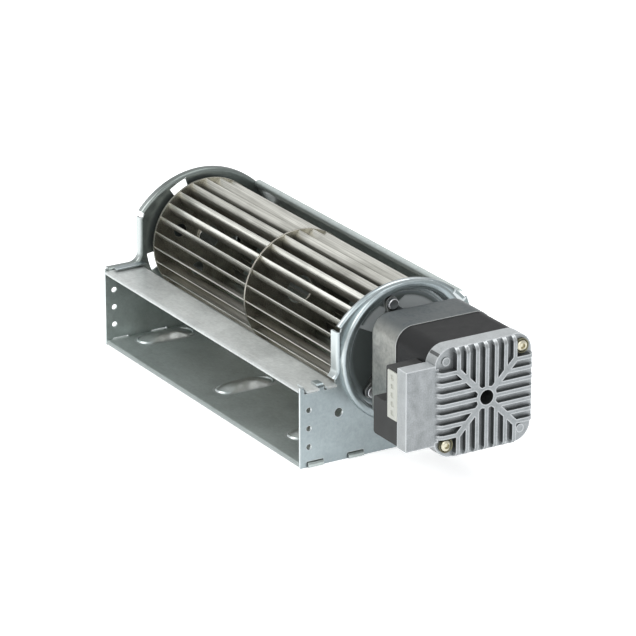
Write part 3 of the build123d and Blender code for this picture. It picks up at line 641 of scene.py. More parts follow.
class Finishes:
    """Every material of the fan, made once and kept under a short name."""

    def __init__(self) -> None:
        """Build all the materials."""
        # Painted light on faces towards -Y, and painted shade inside the ring and towards the back of the
        # plate; inside the ring the zinc is also duller.
        self.sheet = GalvanisedSheet(
            open_from=-0.6, open_to=0.5, dull_and_shaded_inside=29.0, shaded_behind=74.0
        ).material()
        # Painted shade on the wall's faces towards -Y.
        self.wall = GalvanisedSheet(
            "wall_sheet", light=(0.62, 0.685, 0.665), dark=(0.42, 0.47, 0.455), reach=24.0,
            open_from=-0.35, front=0.8, front_painted_shading=(0.30, 0.335, 0.325), metallic=0.7
        ).material()
        # Painted light: a brighter copy of the wall's sheet, for highlights on the beads.
        self.bead_painted_light = GalvanisedSheet(
            "bead_sheet_painted_light", light=(0.74, 0.77, 0.755), dark=(0.56, 0.59, 0.575), reach=24.0,
            open_from=-0.4, roughness=0.3, relief=0.05, frost=0.1
        ).material()
        # Painted shade on this plate above the lip's height.
        self.bearing_sheet = GalvanisedSheet(
            "bearing_plate_sheet", light=(0.56, 0.62, 0.60), dark=(0.41, 0.46, 0.445),
            open_from=-0.7, metallic=0.8, shaded_above=38.0
        ).material()
        # A little painted light on the lip's faces towards -Y.
        self.lip = GalvanisedSheet(
            "lip_sheet", light=(0.70, 0.725, 0.71), dark=(0.47, 0.49, 0.48), open_from=-1.2,
            roughness=0.40, metallic=0.7, front=0.2
        ).material()
        self.blade = RolledSteel("blade_strip", light=(0.86, 0.86, 0.80), inner_edge=25.0).material()
        # Long-reach painted shade over the discs.
        self.disc = RolledSteel(
            "disc_sheet", light=(0.50, 0.48, 0.41), dark=(0.19, 0.18, 0.145), reach=30.0,
            open_from=-0.2, open_to=0.55
        ).material()
        # Painted light on the cover's tops, painted shade on its rib sides.
        self.cast = CastAluminium(ribs=24.3, open_from=-1.3, open_to=0.35).material()
        # Painted shade on the shield's tops, mottled like stains.
        self.shield = CastAluminium(
            "shield_casting", light=(0.33, 0.333, 0.305), dark=(0.165, 0.172, 0.162), reach=6.0,
            top=0.85, top_painted_shading=(0.098, 0.115, 0.122), front=0.1, grain=0.6
        ).material()
        for name, *looks in (
            ("steel", "ground_steel", (0.62, 0.62, 0.61), (0.45, 0.45, 0.45), 0.2),
            ("alloy", "turned_alloy", (0.66, 0.66, 0.66), (0.52, 0.52, 0.53), 0.3),
            ("zinc", "zinc_screw", (0.60, 0.61, 0.62), (0.44, 0.45, 0.47), 0.3),
            ("brass", "brass_screw", (0.64, 0.61, 0.49), (0.40, 0.375, 0.28), 0.3),
            # Dark ring of painted shade round the cover screws' heads.
            ("olive", "painted_shade_ring", (0.19, 0.18, 0.115), (0.08, 0.077, 0.05), 0.38, 0.8),
            ("bronze", "sintered_bronze", (0.45, 0.30, 0.14), (0.30, 0.19, 0.08), 0.5),
            ("bearing", "bearing_steel", (0.66, 0.66, 0.67), (0.5, 0.5, 0.51), 0.16),
            ("black_steel", "black_steel", (0.05, 0.05, 0.055), (0.02, 0.02, 0.022), 0.4, 0.8),
            ("magnet", "magnet_coating", (0.07, 0.07, 0.075), (0.03, 0.03, 0.032), 0.45, 0.4),
        ):
            setattr(self, name, TurnedMetal(*looks).material())
        for name, *looks in (
            ("cap", "black_cap", (0.006, 0.006, 0.006), 0.4, 2.0, 0.02, 0.0, 0.25),
            ("rubber", "damper_rubber", (0.018, 0.018, 0.019), 0.7, 2.0, 0.05, 0.06),
            ("case", "dark_case", (0.024, 0.025, 0.024), 0.5, 2.5, 0.03, 0.04, 0.2),
            ("plug", "pale_plug", (0.50, 0.51, 0.455), 0.42, 3.0, 0.01, 0.1),
        ):
            setattr(self, name, Moulded(*looks).material())
        self.laminations = Laminations().material()
        self.copper = CopperWire().material()
        self.board = CircuitBoard().material()


# Meshes: places and lengths are in millimetres until a mesh is written

NEAR = 0.06


def off_axis(point: Vector) -> Point:
    """How far a point lies from the impeller axis, in Y and in Z."""
    return point.y - AXIS.y / MM, point.z - AXIS.z / MM


def from_axis(x: float, y: float, z: float) -> Vector:
    """Point from its place along X and its way from the impeller axis."""
    return Vector((x, y + AXIS.y / MM, z + AXIS.z / MM))


class Outline:
    """Flat outlines and the meshes that are drawn out or turned from them."""

    @staticmethod
    def arc(centre: Point, radius: float, start: float, end: float, steps: int) -> list[Point]:
        """Points on an arc between two angles in degrees, ends included."""
        angles = [math.radians(start + (end - start) * i / steps) for i in range(steps + 1)]
        return [(centre[0] + radius * math.cos(a), centre[1] + radius * math.sin(a)) for a in angles]

    @staticmethod
    def prism(points: Sequence[Point], x0: float, x1: float) -> bmesh.types.BMesh:
        """Closed prism along X from an outline in Y and Z, in millimetres.

        Args:
            points: The outline.
            x0: Start.
            x1: End.

        Returns:
            The mesh data.
        """
        bm = bmesh.new()
        ends = [[bm.verts.new((x * MM, y * MM, z * MM)) for y, z in points] for x in (x0, x1)]
        bm.faces.new(ends[0])
        bm.faces.new(ends[1])
        count = len(points)
        for i in range(count):
            j = (i + 1) % count
            bm.faces.new((ends[0][i], ends[0][j], ends[1][j], ends[1][i]))
        bmesh.ops.recalc_face_normals(bm, faces=bm.faces)
        return bm

    @staticmethod
    def turned(profile: Sequence[Point], steps: int = 48) -> bmesh.types.BMesh:
        """Solid of revolution about X through the origin.

        Args:
            profile: Points of x and radius in millimetres; a radius of zero is a pole.
            steps: Segments of the turn.

        Returns:
            The mesh data.
        """
        bm = bmesh.new()
        rings = []
        for x, radius in profile:
            if radius < 1e-6:
                rings.append([bm.verts.new((x * MM, 0, 0))])
                continue
            angles = [2 * math.pi * i / steps for i in range(steps)]
            places = [(x * MM, radius * MM * math.cos(a), radius * MM * math.sin(a)) for a in angles]
            rings.append([bm.verts.new(place) for place in places])
        for low, high in zip(rings, rings[1:]):
            for i in range(steps):
                j = (i + 1) % steps
                corners = [low[i % len(low)], low[j % len(low)], high[j % len(high)], high[i % len(high)]]
                bm.faces.new(list(dict.fromkeys(corners)))
        bmesh.ops.recalc_face_normals(bm, faces=bm.faces)
        return bm


class Piece:
    """Turns mesh data into an object that rides on a body."""

    @staticmethod
    def from_bmesh(name: str, bm: bmesh.types.BMesh, sharp: float = 35.0) -> bpy.types.Object:
        """Make an object with smooth faces and sharp edges.

        Args:
            name: Its name.
            bm: Its mesh data, which is freed.
            sharp: Edges over this angle in degrees stay sharp.

        Returns:
            The object, linked to the scene.
        """
        mesh = bpy.data.meshes.new(name)
        bm.to_mesh(mesh)
        bm.free()
        mesh.shade_smooth()
        mesh.set_sharp_from_angle(angle=math.radians(sharp))
        piece = bpy.data.objects.new(name, mesh)
        bpy.context.collection.objects.link(piece)
        return piece

    @staticmethod
    def ease(piece: bpy.types.Object, width: float, segments: int, angle: float = 30.0) -> None:
        """Add a bevel modifier.

        Args:
            piece: The object.
            width: Width of the bevel in millimetres.
            segments: Its segments.
            angle: Edges over this angle in degrees are eased.
        """
        bevel = piece.modifiers.new("eased", "BEVEL")
        bevel.width = width * MM
        bevel.segments = segments
        bevel.limit_method = "ANGLE"
        bevel.angle_limit = math.radians(angle)

    @staticmethod
    def bake(piece: bpy.types.Object) -> bpy.types.Object:
        """Replace the mesh with its evaluated one, and remove the modifiers."""
        depsgraph = bpy.context.evaluated_depsgraph_get()
        mesh = bpy.data.meshes.new_from_object(piece.evaluated_get(depsgraph), depsgraph=depsgraph)
        mesh.name = piece.name
        piece.modifiers.clear()
        piece.data = mesh
        return piece

    @staticmethod
    def dress(
        piece: bpy.types.Object, material: bpy.types.Material, body: Body, slot: str
    ) -> bpy.types.Object:
        """Give a finished piece its material and body.

        Args:
            piece: The object.
            material: Its material.
            body: The body it rides on.
            slot: Not used.

        Returns:
            The same object.
        """
        piece.data.materials.clear()
        piece.data.materials.append(material)
        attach(piece, body.value)
        LOG.info("%s: %d faces on %s", piece.name, len(piece.data.polygons), body.value)
        return piece


class AxisCopies:
    """Geometry Nodes tree that repeats a mesh round the impeller axis."""

    def __init__(self) -> None:
        """Build the tree with named inputs for count, step, centre and material."""
        self.tree = bpy.data.node_groups.new("axis_copies", "GeometryNodeTree")
        kinds = {
            "Geometry": "NodeSocketGeometry",
            "Count": "NodeSocketInt",
            "Step": "NodeSocketFloat",
            "Centre": "NodeSocketVector",
            "Material": "NodeSocketMaterial",
        }
        self.sockets = {
            name: self.tree.interface.new_socket(name, in_out="INPUT", socket_type=kind)
            for name, kind in kinds.items()
        }
        self.tree.interface.new_socket("Geometry", in_out="OUTPUT", socket_type="NodeSocketGeometry")
        self._wire()

    def _outputs(self, kind: str, inputs: dict[Any, Any], **settings: Any) -> Any:
        """Add a node to the tree, as add_node does, and give its output sockets."""
        return add_node(self.tree, kind, settings, inputs).outputs

    def _wire(self) -> None:
        """Connect points, angles, copies, realised mesh and material."""
        given = self._outputs("NodeGroupInput", {})
        points = self._outputs("GeometryNodeMeshLine", {"Count": given["Count"], "Offset": (0.0, 0.0, 0.0)})
        index = self._outputs("GeometryNodeInputIndex", {})
        terms = {0: index[0], 1: given["Step"]}
        angle = self._outputs("ShaderNodeMath", terms, operation="MULTIPLY")
        turn = self._outputs("ShaderNodeCombineXYZ", {"X": angle[0]})
        terms = {"Points": points[0], "Instance": given["Geometry"], "Rotation": turn[0]}
        copies = self._outputs("GeometryNodeInstanceOnPoints", terms)
        terms = {"Geometry": copies[0], "Translation": given["Centre"]}
        moved = self._outputs("GeometryNodeTransform", terms)
        real = self._outputs("GeometryNodeRealizeInstances", {"Geometry": moved[0]})
        terms = {"Geometry": real[0], "Material": given["Material"]}
        dressed = self._outputs("GeometryNodeSetMaterial", terms)
        self._outputs("NodeGroupOutput", {"Geometry": dressed[0]})

    def repeat(
        self, piece: bpy.types.Object, count: int, material: bpy.types.Material
    ) -> bpy.types.Object:
        """Share copies of a mesh that is drawn about the origin round the impeller axis.

        Args:
            piece: Object whose mesh is repeated.
            count: Number of copies in the full turn.
            material: Material of the copies.

        Returns:
            The same object with the finished mesh.
        """
        modifier = piece.modifiers.new("copies", "NODES")
        modifier.node_group = self.tree
        values = {
            "Count": count,
            "Step": math.radians(360.0 / count),
            "Centre": tuple(AXIS),
            "Material": material,
        }
        for name, value in values.items():
            modifier[self.sockets[name].identifier] = value
        return Piece.bake(piece)


@dataclass
class SmoothShell:
    """A carried-over solid whose flat facets are merged and whose edges are eased.

    The copy stands for its node, with the same faces and smooth normals.
    """

    edge: float
    segments: int = 2
    smooth: float = 34.0
    merge: float = 2e-6
    flat: float = 1.0
    bevel_angle: float = 40.0

    def copy(self, node: str, fit: Callable[[Vector], Vector] | None = None) -> bpy.types.Object:
        """Make the eased copy of one node.

        Args:
            node: Name of the node.
            fit: Moves a point of the mesh, given and returned in millimetres.

        Returns:
            The copy, not yet dressed.
        """
        bm = bmesh.new()
        bm.from_mesh(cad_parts[node].data)
        bmesh.ops.remove_doubles(bm, verts=bm.verts, dist=self.merge)
        if fit is not None:
            for vert in bm.verts:
                vert.co = fit(vert.co / MM) * MM
        flat = math.radians(self.flat)
        bmesh.ops.dissolve_limit(bm, angle_limit=flat, verts=bm.verts, edges=bm.edges)
        piece = Piece.from_bmesh(f"{node}_shell", bm, self.smooth)
        Piece.ease(piece, self.edge, self.segments, self.bevel_angle)
        normals = piece.modifiers.new("normals", "WEIGHTED_NORMAL")
        normals.keep_sharp = True
        return Piece.bake(piece)

    def stand_in(
        self,
        node: str,
        material: bpy.types.Material,
        body: Body,
        slot: str,
        fit: Callable[[Vector], Vector] | None = None,
    ) -> bpy.types.Object:
        """Put a dressed, eased copy in a node's place.

        Args:
            node: Name of the node.
            material: Its material.
            body: The body it rides on.
            slot: Passed on to Piece.dress, which does not use it.
            fit: Moves a point of the mesh, as in copy.

        Returns:
            The copy.
        """
        piece = self.copy(node, fit)
        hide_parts(node)
        return Piece.dress(piece, material, body, slot)


@dataclass
class Impeller:
    """Blades, discs, hub and shafts that turn."""

    finishes: Finishes
    copies: AxisCopies
    blade_count: int = 24
    inner_radius: float = 24.3
    curve_radius: float = 6.9
    curve_angle: float = 61.0
    lead_angle: float = 6.8
    thickness: float = 0.5
    start_x: float = -91.2
    length: float = 181.0
    outline_steps: int = 12

    def blade_outline(self) -> list[Point]:
        """Section of one blade about the axis, in Y and Z."""
        half = self.thickness / 2
        centre = (self.inner_radius, -self.curve_radius)
        end, steps = 90 - self.curve_angle, self.outline_steps
        back = Outline.arc(centre, self.curve_radius + half, 90, end, steps)
        hollow = Outline.arc(centre, self.curve_radius - half, end, 90, steps)
        turn = math.radians(self.lead_angle)
        sine, cosine = math.sin(turn), math.cos(turn)
        return [(y * cosine - z * sine, y * sine + z * cosine) for y, z in back + hollow]

    def blades(self) -> bpy.types.Object:
        """All the blades, with a small eased edge on each."""
        bm = Outline.prism(self.blade_outline(), self.start_x, self.start_x + self.length)
        piece = Piece.from_bmesh("impeller_blade_set", bm, 30.0)
        Piece.ease(piece, 0.1, 2, 50.0)
        Piece.bake(piece)
        self.copies.repeat(piece, self.blade_count, self.finishes.blade)
        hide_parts("impeller_blades")
        return Piece.dress(piece, self.finishes.blade, Body.ROTOR, "blade_steel")

    def build(self) -> None:
        """Build and dress everything that turns."""
        shell = SmoothShell(edge=0.1)
        for node, material, slot in (
            ("impeller_bearing_disc", self.finishes.disc, "blade_steel"),
            ("impeller_centre_disc", self.finishes.disc, "blade_steel"),
            ("impeller_motor_disc", self.finishes.disc, "blade_steel"),
            ("stub_shaft", self.finishes.steel, "shaft_steel"),
            ("impeller_hub", self.finishes.alloy, "hub_aluminium"),
            ("hub_set_screw", self.finishes.black_steel, "black_steel"),
            ("motor_shaft", self.finishes.steel, "shaft_steel"),
            ("magnet_rotor", self.finishes.magnet, "magnet"),
        ):
            shell.stand_in(node, material, Body.ROTOR, slot)
        self.blades()


@dataclass
class Housing:
    """End plates, scroll wall, lip and the free end's bearing."""

    finishes: Finishes
    shell: SmoothShell = field(default_factory=lambda: SmoothShell(edge=0.15))
    dish_face: float = -95.3
    window_radius: float = 34.0
    window_trim: float = 0.8
    window_half: float = 9.0
    window_angles: tuple[float, ...] = (16.0, 117.0, 196.0, 297.0)
    crown_centre: float = -11.3
    crown_radius: float = 46.0
    upright_top: float = 16.0
    flange_edge: float = 91.0
    flange_end: float = 92.6
    ring_face: float = 91.9
    ring_foot: float = 26.5
    ring_inner: float = 28.6
    ring_shift: float = 1.2
    ring_margin: float = 0.3
    bead_levels: tuple[tuple[float, float], tuple[float, float]] = ((4.2, 2.42), (3.2, 1.45))
    bead_span: tuple[float, float] = (5.0, 44.0)
    bead_places: tuple[float, float, float] = (-84.0, -5.0, 63.5)
    bead_middle: float = 24.3
    bead_length: float = 34.0
    bead_width: float = 14.0
    bead_height: float = 3.0
    bead_swell: float = 1.6
    bead_sink: float = 0.04
    bead_rings: int = 10
    bead_steps: int = 40
    floor_height: float = 2.4
    plate_faces: tuple[float, float] = (94.03, 94.97)
    hook_radii: tuple[float, float] = (41.5, 45.9)
    hook_angles: tuple[float, float] = (41.6, 51.6)
    tab_x: tuple[float, float] = (-94.0, -90.0)
    tab_y: tuple[float, float] = (0.4, 17.6)
    tab_z: tuple[float, float] = (40.1, 40.8)

    def fit_bearing_plate(self, point: Vector) -> Vector:
        """Bring the outer edges of the arc windows in a little."""
        flat = Vector((0.0, *off_axis(point)))
        radius = flat.length
        angle = math.degrees(math.atan2(flat.z, flat.y)) % 360.0
        in_window = any(abs(angle - middle) < self.window_half for middle in self.window_angles)
        if in_window and abs(radius - self.window_radius) < NEAR and point.x > self.dish_face:
            flat = flat * ((radius - self.window_trim) / radius)
            return from_axis(point.x, flat.y, flat.z)
        return point

    def fit_motor_plate(self, point: Vector) -> Vector:
        """Shorten the crown's flange, and widen the ring up to the crown's edge."""
        y, z = off_axis(point)
        if point.x < self.flange_edge and z > self.upright_top:
            return Vector((self.flange_end, point.y, point.z))
        radius = math.hypot(y, z)
        if point.x < self.ring_face or not self.ring_foot < radius < self.window_radius:
            return point
        angle = math.atan2(z, y)
        rise = self.crown_centre * math.sin(angle)
        edge = rise + math.sqrt(rise * rise - self.crown_centre**2 + self.crown_radius**2)
        share = min(1.0, (radius - self.ring_foot) / (self.ring_inner - self.ring_foot))
        limit = edge - self.ring_margin if z > 0 else self.crown_radius
        wider = min(radius + self.ring_shift * share, max(radius, limit))
        return from_axis(point.x, y * wider / radius, z * wider / radius)

    def fit_scroll_wall(self, point: Vector) -> Vector:
        """Flatten the duct floor's beads, whose domes are pieces of their own."""
        front, back = self.bead_span
        for level, floor in self.bead_levels:
            if abs(point.z - level) < 0.05 and front < point.y < back:
                return Vector((point.x, point.y, floor))
        return point

    def beads(self) -> bpy.types.Object:
        """Three soft pressed beads on the duct floor, as closed domes."""
        bm = bmesh.new()
        rings, steps = self.bead_rings, self.bead_steps
        half = self.bead_width / 2
        foot = self.floor_height - self.bead_sink
        for x in self.bead_places:
            rows = []
            for ring in range(1, rings + 1):
                share = ring / rings
                straight = (self.bead_length - self.bead_width) / 2 * share
                rise = self.bead_height * (0.5 + 0.5 * math.cos(math.pi * share**self.bead_swell))
                row = []
                for step in range(steps):
                    angle = 2 * math.pi * step / steps
                    across = half * share * math.cos(angle)
                    along = half * share * math.sin(angle) + math.copysign(straight, math.sin(angle))
                    row.append(bm.verts.new(Vector((x + across, self.bead_middle + along, foot + rise)) * MM))
                rows.append(row)
            tip = bm.verts.new(Vector((x, self.bead_middle, foot + self.bead_height)) * MM)
            for step in range(steps):
                after = (step + 1) % steps
                bm.faces.new((tip, rows[0][step], rows[0][after]))
                for low, high in zip(rows, rows[1:]):
                    bm.faces.new((low[step], high[step], high[after], low[after]))
            bm.faces.new(rows[-1])
        bmesh.ops.recalc_face_normals(bm, faces=bm.faces)
        piece = Piece.from_bmesh("duct_beads", bm, 60.0)
        # The beads get the brighter copy of the wall's sheet, painted light.
        return Piece.dress(piece, self.finishes.bead_painted_light, Body.HOUSING, "galvanised_sheet")

    def crown_hook(self) -> bpy.types.Object:
        """Corner of the motor side plate beside the scroll wall's curl."""
        centre = (AXIS.y / MM, AXIS.z / MM + self.crown_centre)
        (low, high), (start, end) = self.hook_radii, self.hook_angles
        outline = Outline.arc(centre, high, start, end, 8) + Outline.arc(centre, low, end, start, 8)
        piece = Piece.from_bmesh("crown_hook", Outline.prism(outline, *self.plate_faces))
        return Piece.dress(piece, self.finishes.sheet, Body.HOUSING, "galvanised_sheet")

    def lip_end_tab(self) -> bpy.types.Object:
        """Tab of the bearing side plate, folded flat over the lip's end."""
        (y0, y1), (z0, z1) = self.tab_y, self.tab_z
        bm = Outline.prism([(y0, z0), (y1, z0), (y1, z1), (y0, z1)], *self.tab_x)
        piece = Piece.from_bmesh("lip_end_tab", bm)
        Piece.ease(piece, 0.2, 2)
        Piece.bake(piece)
        return Piece.dress(piece, self.finishes.sheet, Body.HOUSING, "galvanised_sheet")

    def build(self) -> None:
        """Build and dress everything of the housing."""
        for node, material, slot, fit in (
            ("bearing_side_plate", self.finishes.bearing_sheet, "galvanised_sheet", self.fit_bearing_plate),
            ("motor_side_plate", self.finishes.sheet, "galvanised_sheet", self.fit_motor_plate),
            ("scroll_wall", self.finishes.wall, "galvanised_sheet", self.fit_scroll_wall),
            ("outlet_lip", self.finishes.lip, "galvanised_sheet", None),
            ("bearing_damper", self.finishes.rubber, "damper_rubber", None),
            ("bearing_bush", self.finishes.bronze, "sintered_bronze", None),
            ("thrust_washer", self.finishes.plug, "white_plastic", None),
        ):
            self.shell.stand_in(node, material, Body.HOUSING, slot, fit)
        self.beads()
        self.crown_hook()
        self.lip_end_tab()


@dataclass
class MotorUnit:
    """Square motor with its castings, screws and electronics."""

    finishes: Finishes
    copies: AxisCopies
    shell: SmoothShell = field(default_factory=lambda: SmoothShell(edge=0.25, segments=3))
    ribbed: SmoothShell = field(default_factory=lambda: SmoothShell(edge=0.55, segments=3))
    groove_face: float = 162.5
    groove_half: float = 4.4
    hub_ring: float = 7.6
    hub_ring_fit: float = 5.4
    diagonal_half: float = 2.12
    screw_reach: float = 20.33
    screw_seat: float = 162.2
    screw_end: float = 117.2
    cap_face: float = 159.6
    cap_radius: float = 3.6
    header_box: tuple[Point, Point, Point] = ((147.6, 155.7), (10.6, 18.6), (41.6, 64.8))
    socket_count: int = 5
    socket_pitch: float = 4.3
    socket_half: float = 1.15
    socket_depth: float = 0.7

    def fit_cover(self, point: Vector) -> Vector:
        """Bring the grooves' ends at the middle nearer to the shaft hole."""
        y, z = off_axis(point)
        if point.x < self.groove_face or abs(math.hypot(y, z) - self.hub_ring) > NEAR:
            return point
        across = min(abs(y), abs(z))
        if across > self.groove_half:
            return point
        ring = math.sqrt(max(self.hub_ring_fit**2 - across**2, 0.0))
        reach = max(ring, across + self.diagonal_half)
        if abs(y) > abs(z):
            return from_axis(point.x, math.copysign(reach, y), z)
        return from_axis(point.x, y, math.copysign(reach, z))

    def cover_pair(
        self, name: str, profile: list[Point], material: bpy.types.Material
    ) -> bpy.types.Object:
        """A turned part, once in each of two opposite corners of the cover.

        Args:
            name: Its name.
            profile: Points of x and radius in millimetres.
            material: Its material.

        Returns:
            The dressed pair.
        """
        bm = Outline.turned(profile, 32)
        bmesh.ops.remove_doubles(bm, verts=bm.verts, dist=1e-7)
        bmesh.ops.translate(bm, verts=bm.verts, vec=(0.0, self.screw_reach * MM, self.screw_reach * MM))
        piece = Piece.from_bmesh(name, bm, 40.0)
        self.copies.repeat(piece, 2, material)
        return Piece.dress(piece, material, Body.HOUSING, "brass_screws")

    def cover_screws(self) -> None:
        """Two domed screws, each with a dark ring of painted shade round its head, in opposite corners of the
        cover.
        """
        x = self.screw_seat
        head = [
            (self.screw_end, 0.0), (self.screw_end, 1.7), (x, 1.7), (x, 2.75), (x + 1.3, 2.7),
            (x + 1.75, 2.2), (x + 1.9, 1.35), (x + 0.9, 1.05), (x + 0.9, 0.0),
        ]
        ring = [
            (x, 2.82), (x, 3.6), (x + 1.2, 3.6), (x + 1.45, 3.45), (x + 1.3, 3.1),
            (x + 0.9, 2.82), (x, 2.82),
        ]
        screws = self.cover_pair("cover_screw_heads", head, self.finishes.brass)
        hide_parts("cover_screws")
        # Dark rings that stand for the shade in the gap round each head.
        self.cover_pair("cover_screw_shade_rings", ring, self.finishes.olive)

    def shaft_cap(self) -> bpy.types.Object:
        """Black dished cap in the cover's middle hole."""
        x, r = self.cap_face, self.cap_radius
        profile = [
            (x - 1.6, 0.0), (x - 1.6, r), (x, r), (x, r - 0.7), (x - 0.7, r - 1.2), (x - 0.9, 0.0),
        ]
        bm = Outline.turned(profile, 40)
        bmesh.ops.translate(bm, verts=bm.verts, vec=(0.0, AXIS.y, AXIS.z))
        piece = Piece.from_bmesh("shaft_cap", bm, 40.0)
        return Piece.dress(piece, self.finishes.cap, Body.HOUSING, "damper_rubber")

    def header(self) -> bpy.types.Object:
        """Plug header with a row of square sockets in its front face."""
        (x0, x1), (y0, y1), (z0, z1) = self.header_box
        x_middle, z_middle, half = (x0 + x1) / 2, (z0 + z1) / 2, self.socket_half
        columns = [x0, x_middle - half, x_middle + half, x1]
        rows = [z0]
        for index in range(self.socket_count):
            socket = z_middle + (index - (self.socket_count - 1) / 2) * self.socket_pitch
            rows += [socket - half, socket + half]
        rows.append(z1)
        bm = bmesh.new()
        grid = [[bm.verts.new((x * MM, y0 * MM, z * MM)) for x in columns] for z in rows]
        faces = {}
        for i in range(len(rows) - 1):
            for j in range(len(columns) - 1):
                near, far = grid[i], grid[i + 1]
                faces[i, j] = bm.faces.new((near[j], near[j + 1], far[j + 1], far[j]))
        back = bmesh.ops.extrude_face_region(bm, geom=list(bm.faces), use_keep_orig=True)["geom"]
        moved = [item for item in back if isinstance(item, bmesh.types.BMVert)]
        bmesh.ops.translate(bm, verts=moved, vec=(0.0, (y1 - y0) * MM, 0.0))
        sockets = [faces[i, 1] for i in range(1, len(rows) - 1, 2)]
        sunk = bmesh.ops.extrude_discrete_faces(bm, faces=sockets)["faces"]
        deep = {vert for face in sunk for vert in face.verts}
        bmesh.ops.translate(bm, verts=list(deep), vec=(0.0, self.socket_depth * MM, 0.0))
        bmesh.ops.recalc_face_normals(bm, faces=bm.faces)
        piece = Piece.from_bmesh("plug_header_body", bm)
        Piece.ease(piece, 0.3, 3)
        Piece.bake(piece)
        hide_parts("plug_header")
        return Piece.dress(piece, self.finishes.plug, Body.HOUSING, "white_plastic")

    def build(self) -> None:
        """Build and dress the motor."""
        for node, material, slot in (
            ("motor_front_shield", self.finishes.shield, "cast_aluminium"),
            ("stator_stack", self.finishes.laminations, "lamination"),
            ("stator_windings", self.finishes.copper, "winding"),
            ("front_bearing", self.finishes.bearing, "bearing_steel"),
            ("rear_bearing", self.finishes.bearing, "bearing_steel"),
            ("mount_screws", self.finishes.zinc, "zinc_screws"),
            ("electronics_case", self.finishes.case, "dark_plastic"),
            ("control_board", self.finishes.board, "board"),
            ("header_pins", self.finishes.zinc, "brass_pins"),
        ):
            self.shell.stand_in(node, material, Body.HOUSING, slot)
        self.ribbed.stand_in(
            "motor_rear_cover", self.finishes.cast, Body.HOUSING, "cast_aluminium", self.fit_cover
        )
        self.cover_screws()
        self.shaft_cap()
        self.header()


# Studio


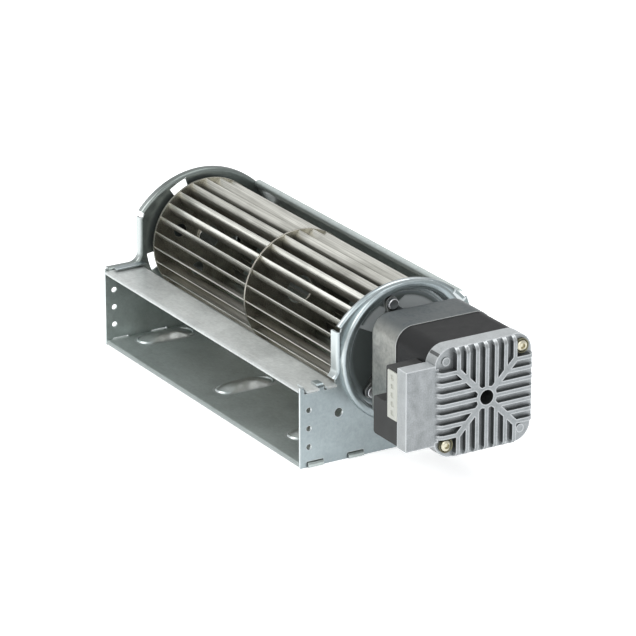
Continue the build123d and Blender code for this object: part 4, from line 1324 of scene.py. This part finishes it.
@dataclass
class Studio:
    """Floor, light and camera."""

    azimuth: float = 58.89
    elevation: float = 20.61
    distance: float = 2052.1
    focal_pixels: float = 4230.4
    aim: tuple[float, float, float] = (0.5, 43.25, 47.25)
    shift_right: float = 16.7
    shift_up: float = -10.83
    clip: tuple[float, float] = (0.1, 50.0)
    sensor: float = 36.0
    floor_size: float = 6.0
    floor_colour: Colour = (0.9, 0.9, 0.9)
    floor_glow: float = 0.62
    sky_colour: Colour = (0.93, 0.96, 1.0)
    sky_strength: float = 0.62
    mirrored: Colour = (0.8, 0.8, 0.8)
    white: Colour = (1.0, 1.0, 1.0)
    lamp_aim: tuple[float, float, float] = (0.0, 0.05, 0.05)
    lamps: tuple[tuple[str, tuple[float, float, float], float, float], ...] = (
        ("key", (-0.3, -1.3, 1.5), 1.2, 16.0),
        ("fill", (1.6, -0.5, 0.9), 1.2, 9.0),
        ("top", (0.1, 0.5, 1.8), 1.4, 14.0),
    )

    def seen(self, tree: bpy.types.NodeTree, path: bpy.types.Node) -> bpy.types.NodeSocket:
        """Mask of the rays that see the plain white background.

        Args:
            tree: Node tree of the world or the floor.
            path: Its Light Path node.

        Returns:
            One for camera, glossy and transmission rays, else zero.
        """
        mask = path.outputs["Is Camera Ray"]
        for ray in ("Is Glossy Ray", "Is Transmission Ray"):
            terms = {0: mask, 1: path.outputs[ray]}
            mask = add_node(tree, "ShaderNodeMath", {"operation": "MAXIMUM"}, terms).outputs[0]
        return mask

    def world(self) -> None:
        """White for the camera, pale for reflections, softer for diffuse light."""
        world = bpy.data.worlds.new("studio")
        bpy.context.scene.world = world
        tree = bare_tree(world)
        path = add_node(tree, "ShaderNodeLightPath", {}, {})
        terms = {0: path.outputs["Is Camera Ray"], 6: self.mirrored, 7: self.white}
        pale = add_node(tree, "ShaderNodeMix", {"data_type": "RGBA"}, terms).outputs[2]
        terms = {"Color": pale, "Strength": 1.0}
        white = add_node(tree, "ShaderNodeBackground", {}, terms).outputs[0]
        terms = {"Color": self.sky_colour, "Strength": self.sky_strength}
        soft = add_node(tree, "ShaderNodeBackground", {}, terms).outputs[0]
        terms = {0: self.seen(tree, path), 1: soft, 2: white}
        mix = add_node(tree, "ShaderNodeMixShader", {}, terms).outputs[0]
        add_node(tree, "ShaderNodeOutputWorld", {}, {"Surface": mix})

    def floor(self) -> None:
        """Pale floor that is white to the camera but keeps the fan's shadow."""
        bm = bmesh.new()
        bmesh.ops.create_grid(bm, x_segments=1, y_segments=1, size=self.floor_size / 2)
        floor = Piece.from_bmesh("studio_floor", bm)
        floor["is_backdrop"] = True
        material = bpy.data.materials.new("studio_floor")
        tree = bare_tree(material)
        path = add_node(tree, "ShaderNodeLightPath", {}, {})
        diffuse = add_node(tree, "ShaderNodeBsdfDiffuse", {}, {"Color": self.floor_colour}).outputs[0]
        glow = add_node(tree, "ShaderNodeEmission", {}, {"Strength": self.floor_glow}).outputs[0]
        none = add_node(tree, "ShaderNodeEmission", {}, {"Strength": 0.0}).outputs[0]
        terms = {0: self.seen(tree, path), 1: none, 2: glow}
        lift = add_node(tree, "ShaderNodeMixShader", {}, terms).outputs[0]
        total = add_node(tree, "ShaderNodeAddShader", {}, {0: diffuse, 1: lift}).outputs[0]
        add_node(tree, "ShaderNodeOutputMaterial", {}, {"Surface": total})
        floor.data.materials.append(material)

    def lamp(self, name: str, place: Sequence[float], size: float, power: float) -> None:
        """Add a square soft light that points at the fan.

        Args:
            name: Its name.
            place: Its place in metres.
            size: Side of the square in metres.
            power: Its power in watts.
        """
        data = bpy.data.lights.new(name, "AREA")
        data.shape = "SQUARE"
        data.size = size
        data.energy = power
        lamp = bpy.data.objects.new(name, data)
        lamp.location = place
        aim = Vector(self.lamp_aim) - Vector(place)
        lamp.rotation_euler = aim.to_track_quat("-Z", "Y").to_euler()
        bpy.context.collection.objects.link(lamp)

    def camera(self) -> None:
        """Camera at the photograph's angle, distance and framing."""
        azimuth, elevation = math.radians(self.azimuth), math.radians(self.elevation)
        level = math.cos(elevation)
        back = Vector((math.sin(azimuth) * level, -math.cos(azimuth) * level, math.sin(elevation)))
        right = Vector((math.cos(azimuth), math.sin(azimuth), 0.0))
        up = back.cross(right)
        centre = Vector(self.aim) + back * self.distance
        centre += right * self.shift_right + up * self.shift_up
        data = bpy.data.cameras.new("photo_camera")
        data.sensor_width = self.sensor
        data.lens = self.focal_pixels / PHOTO_PIXELS * data.sensor_width
        data.clip_start, data.clip_end = self.clip
        camera = bpy.data.objects.new("photo_camera", data)
        turn = Matrix((right, up, back)).transposed()
        camera.matrix_world = Matrix.Translation(centre * MM) @ turn.to_4x4()
        bpy.context.collection.objects.link(camera)
        bpy.context.scene.camera = camera

    def build(self) -> None:
        """Set up the whole studio."""
        bpy.context.scene.view_settings.view_transform = "Standard"
        self.world()
        self.floor()
        for lamp in self.lamps:
            self.lamp(*lamp)
        self.camera()
        LOG.info("studio ready")


def corners() -> list[list[float]]:
    """Lowest and highest corner of everything that is shown."""
    return [list(corner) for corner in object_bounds()]


def main() -> None:
    """Build the fan's sub-assemblies in order."""
    logging.basicConfig(level=logging.INFO, format="%(message)s")
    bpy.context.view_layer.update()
    finishes = Finishes()
    copies = AxisCopies()
    Housing(finishes).build()
    Impeller(finishes, copies).build()
    MotorUnit(finishes, copies).build()
    Studio().build()


if __name__ == "__main__":
    main()
